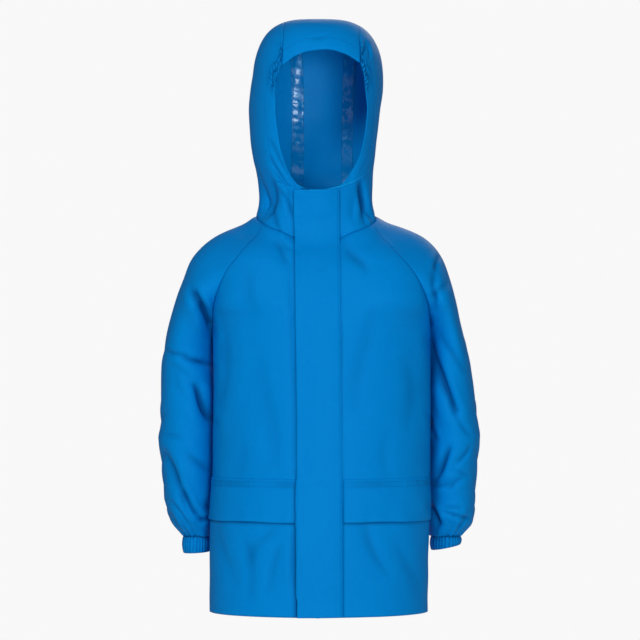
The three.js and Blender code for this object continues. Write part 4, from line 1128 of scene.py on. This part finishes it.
# Elastic cuffs: a band gathered round, puckered at both rows of stitching and higher towards one side.
cuff = {
    "gathers": 25,
    "perGather": 10,
    "rows": 14,
    "inset": 1.6,
    "rise": 2.2,
    "wall": 1.0,
    "innerHeight": {1: 20.0, -1: 22.0},
    "outerHeight": {1: 12.0, -1: 24.0},
}
swellDown = curveThrough([0, 0.2, 0.5, 0.82, 1], [0.0, 1.0, 1.5, 0.9, 0.2])
for side, name in sides:
    order = np.arange(cuff["gathers"] * cuff["perGather"]) / (cuff["gathers"] * cuff["perGather"])
    ring = oriented(side, sleeveRing(side, np.full(cuff["rows"], coat["sleeveEnd"]), order))
    down = np.linspace(0, 1, cuff["rows"])[:, None]
    across = np.roll(ring, -1, axis=1) - np.roll(ring, 1, axis=1)
    out = unit(np.cross(vectors(0, 0, -1) * np.ones_like(across), across))
    far = np.abs(ring[0, :, 0])
    share = (far - far.min()) / (far.max() - far.min())
    height = cuff["innerHeight"][side] * (1 - share) + cuff["outerHeight"][side] * share
    ring[..., 2] = coat["sleeveEnd"] - 0.3 - down * height
    pinch = 0.5 + 0.5 * np.sin(math.pi * down) ** 0.7
    whole = 2 * math.pi * order[None, :]
    turn = cuff["gathers"] * order[None, :] + 0.2 * np.sin(5 * whole + side) + 0.12 * down
    uneven = 0.75 + 0.35 * np.sin(7 * whole + 1.0) * np.sin(4 * whole)
    fold = np.abs(np.sin(math.pi * turn))
    wave = cuff["rise"] * pinch * uneven * (fold - 0.2)
    shape = ring + out * (swellDown(down) - cuff["inset"] + wave)[..., None]
    # painted shade in the gathers' valleys, darker towards the band's top and bottom
    valleyPaintedShade = np.exp(-((fold / 0.45) ** 2)) * uneven * (0.4 + 0.6 * np.abs(2 * down - 1))
    band = clothPiece(f"cuff{name.title()}", shape, gridNormals(shape, closed=True), [shell, lining],
                      cuff["wall"], closed=True, paintedShadeAndShine=np.clip(valleyPaintedShade, 0, 0.9))
    keep(band, "shell", f"cuff_{name}")

# Strips over the closed front run from the chin to the hem, between two leaning edges.
frontBoth = np.concatenate([panels["front_right"], panels["front_left"]], axis=1)
strips = {
    "chinLowest": -17.0,
    "chinLift": 0.4,
    "firstRow": 2,           # of the fronts, below the neck seam
    "evened": 7,             # rows on each side of the neck seam, and how often
    "turns": 22,
}


def centreStrip(leftEdge, rightEdge, count, top):
    step = np.linspace(0, 1, count)
    heights = rowsBetween(top, strips["chinLowest"], coat["cellSize"])
    places = leftEdge(heights)[:, None] + (rightEdge(heights) - leftEdge(heights))[:, None] * step
    chin = hoodFront(places, heights[:, None] * np.ones_like(places))
    ways = hoodNormal(chin)
    lift = softness(chin, hood["soft"]) - creaseDepth(chin, ways) + strips["chinLift"]
    rows = []
    for line in frontBoth[strips["firstRow"]:]:
        height = np.array(line[:, 2].mean())
        x = leftEdge(height) + (rightEdge(height) - leftEdge(height)) * step
        y, z = (np.interp(x, line[:, 0], line[:, axis]) for axis in (1, 2))
        rows.append(np.stack([x, y, z], axis=1))
    strip = np.concatenate([chin + ways * lift[..., None], np.array(rows)])
    strip = smoothNear(strip, len(heights), strips["evened"], strips["turns"])
    return strip, gridNormals(strip)


def lineDown(strip, directions, share, lift=0.1):
    # a line down a strip at a share of its width
    at = share * (strip.shape[1] - 1)
    low = int(at)
    raised = strip[:, low:low + 2] + directions[:, low:low + 2] * lift
    return raised[:, 0] * (1 - at + low) + raised[:, 1] * (at - low)


strip, direction = centreStrip(flapLeft, flapRight, flap["columns"], flap["top"])
step = np.linspace(0, 1, flap["columns"])[None, :]
stand = np.interp(step, [0, 0.25, 0.45, 0.55, 0.78, 0.92, 1], [0.9, 1.5, 2.2, 2.2, 1.3, 0.2, -0.75])
height = strip[..., 2]
ripple = 0.5 + 0.3 * np.sin(height / 31) + 0.3 * np.sin(height / 12.7 + 1)
overPocket = np.clip((-349 - height) / 6, 0, 1) * np.exp(-(step / 0.28) ** 2)
stand = stand + flap["edgeLift"] * np.exp(-(step / 0.09) ** 2) * ripple
stand = stand + flap["overPocket"] * overPocket + softness(strip * 1.7, 0.25)
flapOuter = strip + direction * (stand + flap["wall"])[..., None]
keep(clothPiece("stormFlap", flapOuter, direction, [shell, lining], flap["wall"]), "shell", "storm_flap")
stitchLines = [lineDown(flapOuter, gridNormals(flapOuter), 0.95)[1:-1]]

# Zip tapes: one inside each front.
zipper = {"tapeWall": 0.7, "tapeBack": 1.3, "tapeOuter": 18.0, "tapeInner": 1.2, "top": 44.0}


def level(value):
    return lambda height: np.full(np.shape(height), float(value))


for side, name in sides:
    low, high = sorted((side * zipper["tapeInner"], side * zipper["tapeOuter"]))
    strip, direction = centreStrip(level(low), level(high), 7, zipper["top"])
    back = strip - direction * zipper["tapeBack"]
    band = clothPiece(f"zipTape{name.title()}", back, direction, [zipCloth, zipCloth], zipper["tapeWall"])
    keep(band, "zip_tape", f"zip_tape_{name}")


# Pockets: a flat patch under a flap on each front.
def overFront(side, levels, columns):
    # the front panel's surface at the given heights, from beside the storm flap to the side seam
    panel = panels["front_left" if side > 0 else "front_right"]
    grid = oriented(side, panel)
    direction = oriented(side, gridNormals(panel))
    height = grid[:, 2, 2]
    rows = np.interp(-levels, -height, np.arange(len(height)))
    low = np.clip(rows.astype(int), 0, len(height) - 2)
    part = (rows - low)[:, None, None]
    points = grid[low] * (1 - part) + grid[low + 1] * part
    ways = direction[low] * (1 - part) + direction[low + 1] * part
    found, turned = [], []
    for line, way in zip(points, ways):
        count = np.arange(len(line))
        first = np.interp(pocket["start"][side], np.abs(line[:, 0]), count)
        at = np.linspace(first, len(line) - 1.02, columns)
        found.append(np.stack([np.interp(at, count, column) for column in line.T], axis=1))
        turned.append(np.stack([np.interp(at, count, column) for column in way.T], axis=1))
    return np.array(found), unit(np.array(turned))


def keepPatch(side, name, node, outer, direction, wall, shaded):
    patch = clothPiece(name, oriented(side, outer), oriented(side, direction), [shell, lining], wall,
                       paintedShadeAndShine=oriented(side, shaded))
    keep(patch, "shell", node)


fallDown = curveThrough([-411, -398, -381, -364, -354, -351], [2.7, 2.2, 1.8, 0.5, 0.3, -0.9])
for side, name in sides:
    levels = rowsBetween(pocket["mouth"], coat["hemHeight"] + 0.6, coat["cellSize"])
    base, direction = overFront(side, levels, pocket["columns"])
    # painted shadow below the pocket flap's edge and beside the storm flap, and painted shade in the creases
    below = np.clip(1 - (pocketFlap["edge"] - base[..., 2]) / pocketFlap["shadeRun"], 0, 1) ** 1.4
    shaded = np.maximum(creaseShade(creaseDepth(base, direction)), besideFlap(base))
    shaded = np.maximum(shaded, pocketFlap["underShade"] * below)
    outer = base + direction * (pocket["gap"] + pocket["wall"])
    keepPatch(side, f"pocket{name.title()}", f"pocket_{name}", outer, direction, pocket["wall"], shaded)

    levels = np.linspace(pocketFlap["seam"], pocketFlap["edge"], pocketFlap["rows"])
    base, direction = overFront(side, levels, pocket["columns"])
    lowered = np.clip((pocketFlap["seam"] - levels - 14) / 44, 0, 1)[:, None]
    x = base[..., 0]
    wavy = np.sin(x / 9.5 + side) + 0.6 * np.sin(x / 4.7 + 2 * side)
    sewn = np.exp(-((levels + 358.5) / 4.5) ** 2)[:, None]
    puckers = pocketFlap["pucker"] * sewn * (np.sin(x / 1.25 + np.sin(x / 5)) + 0.6 * np.sin(x / 2.1 + 1))
    stand = fallDown(levels)[:, None] + pocketFlap["wall"] + lowered * (0.5 * wavy) + puckers
    outer = base + direction * stand[..., None]
    outer[..., 2] += lowered ** 2 * pocketFlap["wavy"] * np.sin(x / 14.0 + 2)
    # painted shade between the two rows of stitching, and in the creases and beside the storm flap
    shaded = 0.8 * sewn * np.clip(0.20 + 0.16 * np.sin(x / 13 + 2 * side), 0, 1)
    shaded = np.maximum(shaded, creaseShade(creaseDepth(base, direction)))
    shaded = np.maximum(shaded, besideFlap(base))
    keepPatch(side, f"pocketFlap{name.title()}", f"pocket_flap_{name}", outer, direction,
              pocketFlap["wall"], shaded)
    for z in pocketFlap["stitchRows"]:
        row = int(round(np.interp(-z, -levels, np.arange(len(levels)))))
        stitchLines.append(outer[row] + direction[row] * 0.1)

# Glossy tapes over the hood's two long seams, inside.
tape = {
    "half": 9.0,
    "columns": 13,
    "gap": 1.7,
    "wall": 0.35,
    "pucker": 0.8,
    # heights between which each tape gets painted highlights, and how much
    "bright": {-1: ((216, 226, 0.6), (172, 198, 1.0), (146, 166, 0.8), (106, 142, 0.35), (74, 90, 0.6)),
               1: ((198, 216, 0.6), (150, 197, 1.0), (90, 142, 0.25), (60, 76, 0.3))},
}
for side, name, seam in ((1, "left", leftSeam), (-1, "right", rightSeam)):
    seam = evenly(seam, 170)[2:-2]
    aside = unit(np.cross(unit(np.gradient(seam, axis=0)), hoodNormal(seam)))
    reach = np.linspace(-tape["half"], tape["half"], tape["columns"])
    flat = seam[:, None] + aside[:, None] * reach[None, :, None]
    place = hoodPoint(unit(flat - hood["centre"]))
    direction = hoodNormal(place)
    x, y, z = np.moveaxis(place, -1, 0)
    puckered = tape["pucker"] * (np.sin(z / 1.9 + y / 2.3) * 0.5 + np.sin(y / 3.7 + x / 2.9 + 2) * 0.6)
    outer = place - direction * (tape["gap"] + puckered + creaseDepth(place, direction))[..., None]
    if np.mean(dots(gridNormals(outer), direction)) < 0:
        outer, direction = outer[:, ::-1], direction[:, ::-1]
    # painted highlights: a tape is lighter between the given heights, at the back only
    bright = np.zeros(outer.shape[:2])
    for low, high, amount in tape["bright"][side]:
        middle, half = (low + high) / 2, (high - low) / 2
        inside = np.exp(-((outer[..., 2] - middle) / half) ** 4) * (outer[..., 1] > 0)
        bright = np.maximum(bright, amount * inside)
    band = clothPiece(f"hoodTape{name.title()}", outer, direction, [seamTape, seamTape], tape["wall"],
                      paintedShadeAndShine=bright)
    keep(band, "seam_tape", f"hood_tape_{name}")


# Sewing and zip teeth: small parts repeated along lines by geometry nodes.
def alongLines(name, shape):
    tree = bpy.data.node_groups.new(name, "GeometryNodeTree")
    socket = tree.interface.new_socket
    socket(name="Geometry", in_out="INPUT", socket_type="NodeSocketGeometry")
    for label, value in (("Pitch", 0.003), ("Length", 0.002), ("Width", 0.0005)):
        socket(name=label, in_out="INPUT", socket_type="NodeSocketFloat").default_value = value
    socket(name="Material", in_out="INPUT", socket_type="NodeSocketMaterial")
    socket(name="Geometry", in_out="OUTPUT", socket_type="NodeSocketGeometry")
    given = tree.nodes.new("NodeGroupInput").outputs
    curve = tree.nodes.new("GeometryNodeMeshToCurve")
    spaced = tree.nodes.new("GeometryNodeCurveToPoints")
    spaced.mode = "LENGTH"
    placed = tree.nodes.new("GeometryNodeInstanceOnPoints")
    real = tree.nodes.new("GeometryNodeRealizeInstances")
    painted = tree.nodes.new("GeometryNodeSetMaterial")
    result = tree.nodes.new("NodeGroupOutput")
    if shape == "rod":
        part = tree.nodes.new("GeometryNodeMeshCylinder")
        part.inputs["Vertices"].default_value = 5
        sized = [(given["Width"], part.inputs["Radius"]), (given["Length"], part.inputs["Depth"])]
    else:
        part = tree.nodes.new("GeometryNodeMeshCube")
        size = tree.nodes.new("ShaderNodeCombineXYZ")
        size.inputs["Z"].default_value = 0.0013
        sized = [(given["Width"], size.inputs["X"]), (given["Length"], size.inputs["Y"]),
                 (size.outputs[0], part.inputs["Size"])]
    for start, end in [
            *sized,
            (given["Geometry"], curve.inputs["Mesh"]),
            (curve.outputs["Curve"], spaced.inputs["Curve"]),
            (given["Pitch"], spaced.inputs["Length"]),
            (spaced.outputs["Points"], placed.inputs["Points"]),
            (spaced.outputs["Rotation"], placed.inputs["Rotation"]),
            (part.outputs["Mesh"], placed.inputs["Instance"]),
            (placed.outputs["Instances"], real.inputs["Geometry"]),
            (real.outputs["Geometry"], painted.inputs["Geometry"]),
            (given["Material"], painted.inputs["Material"]),
            (painted.outputs["Geometry"], result.inputs["Geometry"])]:
        tree.links.new(start, end)
    return tree


def repeated(name, lines, tree, material, sizes):
    places, edges = [], []
    for line in lines:
        edges += [(len(places) + i, len(places) + i + 1) for i in range(len(line) - 1)]
        places += (line / 1000).tolist()
    mesh = bpy.data.meshes.new(name + "Lines")
    mesh.from_pydata(places, edges, [])
    source = linked(name + "Lines", mesh)
    modifier = source.modifiers.new("repeat", "NODES")
    modifier.node_group = tree
    sockets = {item.name: item.identifier for item in tree.interface.items_tree if item.in_out == "INPUT"}
    for label in ("Pitch", "Length", "Width"):
        modifier[sockets[label]] = sizes[label.lower()] / 1000
    modifier[sockets["Material"]] = material
    made = bpy.data.meshes.new_from_object(source.evaluated_get(bpy.context.evaluated_depsgraph_get()))
    bpy.data.objects.remove(source)
    made.name = name
    return linked(name, made)


sewing = {
    "pitch": 3.1,
    "length": 2.3,
    "width": 0.24,           # the thread's radius
    "lift": 0.12,
    "fromSeam": 2.2,
    "fromHem": 15.0,
    "fromOpening": 19.0,
}


def beside(name, edge, distance):
    # a line on a panel at a distance from one of its edges
    grid, ways = panels[name], normals[name]
    if edge in ("end", "bottom"):
        grid, ways = grid[::-1, ::-1], ways[::-1, ::-1]
    if edge in ("top", "bottom"):
        grid, ways = grid.swapaxes(0, 1), ways.swapaxes(0, 1)
    raised = grid + sewing["lift"] * ways
    return np.array([[np.interp(distance, far, column) for column in points.T]
                     for points, far in zip(raised, arcLengths(grid, 1))])


def downRaglan(name, edge):
    # along a raglan seam, from the neck to the armhole
    line = beside(name, edge, sewing["fromSeam"])
    return (line[::-1] if edge == "end" else line)[1:joinRow - 2]


lines = stitchLines
for side, name in sides:
    first, last = ("start", "end") if side > 0 else ("end", "start")
    lines += [downRaglan(f"front_{name}", last), downRaglan("back", first),
              beside(f"front_{name}", "bottom", sewing["fromHem"]),
              beside(f"hood_side_{name}", first, sewing["fromOpening"])]
lines += [beside("back", "bottom", sewing["fromHem"]), beside("hood_centre", "top", sewing["fromOpening"])]
keep(repeated("stitches", lines, alongLines("stitchesAlongLines", "rod"), thread, sewing), "shell")

teeth = {"half": 1.0, "top": 34.0, "back": 1.3, "pitch": 2.7, "length": 2.2, "width": 3.0}
strip, direction = centreStrip(level(-teeth["half"]), level(teeth["half"]), 2, teeth["top"])
middle = strip - teeth["back"] * direction
keep(repeated("zipTeeth", [middle[:, 0], middle[1:, 1]], alongLines("teethAlongLines", "block"),
              toothPlastic, teeth), "zip_parts", "zip_chain")


def bevelledBlock(name, middle, size, bevel, material):
    mesh = bpy.data.meshes.new(name)
    shape = bmesh.new()
    bmesh.ops.create_cube(shape, size=1)
    for vertex in shape.verts:
        vertex.co = [m / 1000 + c * s / 1000 for m, c, s in zip(middle, vertex.co, size)]
    bmesh.ops.bevel(shape, geom=list(shape.edges), offset=bevel / 1000, segments=3, profile=0.5,
                    affect="EDGES")
    shape.to_mesh(mesh)
    shape.free()
    mesh.materials.append(material)
    mesh.shade_smooth()
    return linked(name, mesh)


sliderHeight = 32.0
x, y, z = hoodFront(np.array([0.0]), np.array([sliderHeight]))[0]
slider = bevelledBlock("zipSlider", (x, y + 0.3, z), (7.0, 2.0, 10.0), 0.6, toothPlastic)
pull = bevelledBlock("zipPull", (x, y - 0.6, z - 8.0), (3.4, 0.7, 12.0), 0.3, toothPlastic)
keep(slider, "zip_parts", "zip_slider")
keep(pull, "zip_parts")
print("scene: sewing and zip")


# Floor, light and camera.
studio = {"floorHeight": -0.95, "floorHalf": 3.0, "background": 0.94, "fill": 0.16}
bpy.ops.mesh.primitive_plane_add(size=2 * studio["floorHalf"], location=(0, 0, studio["floorHeight"]))
floor = bpy.context.object
floor.name = "studioFloor"
floorPaint = bpy.data.materials.new("floorPaint")
floorPaint.use_nodes = True
floorShader = floorPaint.node_tree.nodes["Principled BSDF"].inputs
floorShader["Base Color"].default_value = (0.86, 0.86, 0.86, 1)
floorShader["Roughness"].default_value = 0.9
floor.data.materials.append(floorPaint)

# The camera sees a nearly white background, and the coat is lit by less of it.
world = bpy.data.worlds.new("studioLight")
bpy.context.scene.world = world
world.use_nodes = True
tree = world.node_tree
filling = tree.nodes["Background"]
filling.inputs["Color"].default_value = (0.97, 0.985, 1, 1)
filling.inputs["Strength"].default_value = studio["fill"]
seen = tree.nodes.new("ShaderNodeBackground")
seen.inputs["Color"].default_value = (1, 1, 1, 1)
seen.inputs["Strength"].default_value = studio["background"]
choose = tree.nodes.new("ShaderNodeMixShader")
rays = tree.nodes.new("ShaderNodeLightPath")
tree.links.new(rays.outputs["Is Camera Ray"], choose.inputs[0])
tree.links.new(filling.outputs[0], choose.inputs[1])
tree.links.new(seen.outputs[0], choose.inputs[2])
tree.links.new(choose.outputs[0], tree.nodes["World Output"].inputs["Surface"])
lamps = {                    # place, width and height, watts
    "keyLight": ((-1.3, -3.0, 1.9), (0.9, 0.9), 50),
    "frontLight": ((0.9, -4.6, -0.2), (1.3, 1.3), 86),
    "backLight": ((0.6, 2.6, 1.4), (2.0, 1.4), 30),
}
for name, (place, size, power) in lamps.items():
    lamp = bpy.data.lights.new(name, "AREA")
    lamp.shape = "RECTANGLE"
    lamp.size, lamp.size_y = size
    lamp.energy = power
    light = linked(name, lamp)
    away = np.array(place) - (0, 0, -0.15)             # from the middle of the coat
    light.location = place
    light.rotation_euler = (math.acos(away[2] / np.linalg.norm(away)), 0, math.atan2(away[0], -away[1]))

camera = linked("camera", bpy.data.cameras.new("camera"))
camera.data.sensor_width = 36
camera.data.lens = 200.9
camera.location = (0.0028, -5.0, -0.133)
camera.rotation_euler = (math.pi / 2, 0, 0)
bpy.context.scene.camera = camera
bpy.context.scene.view_settings.view_transform = "Standard"
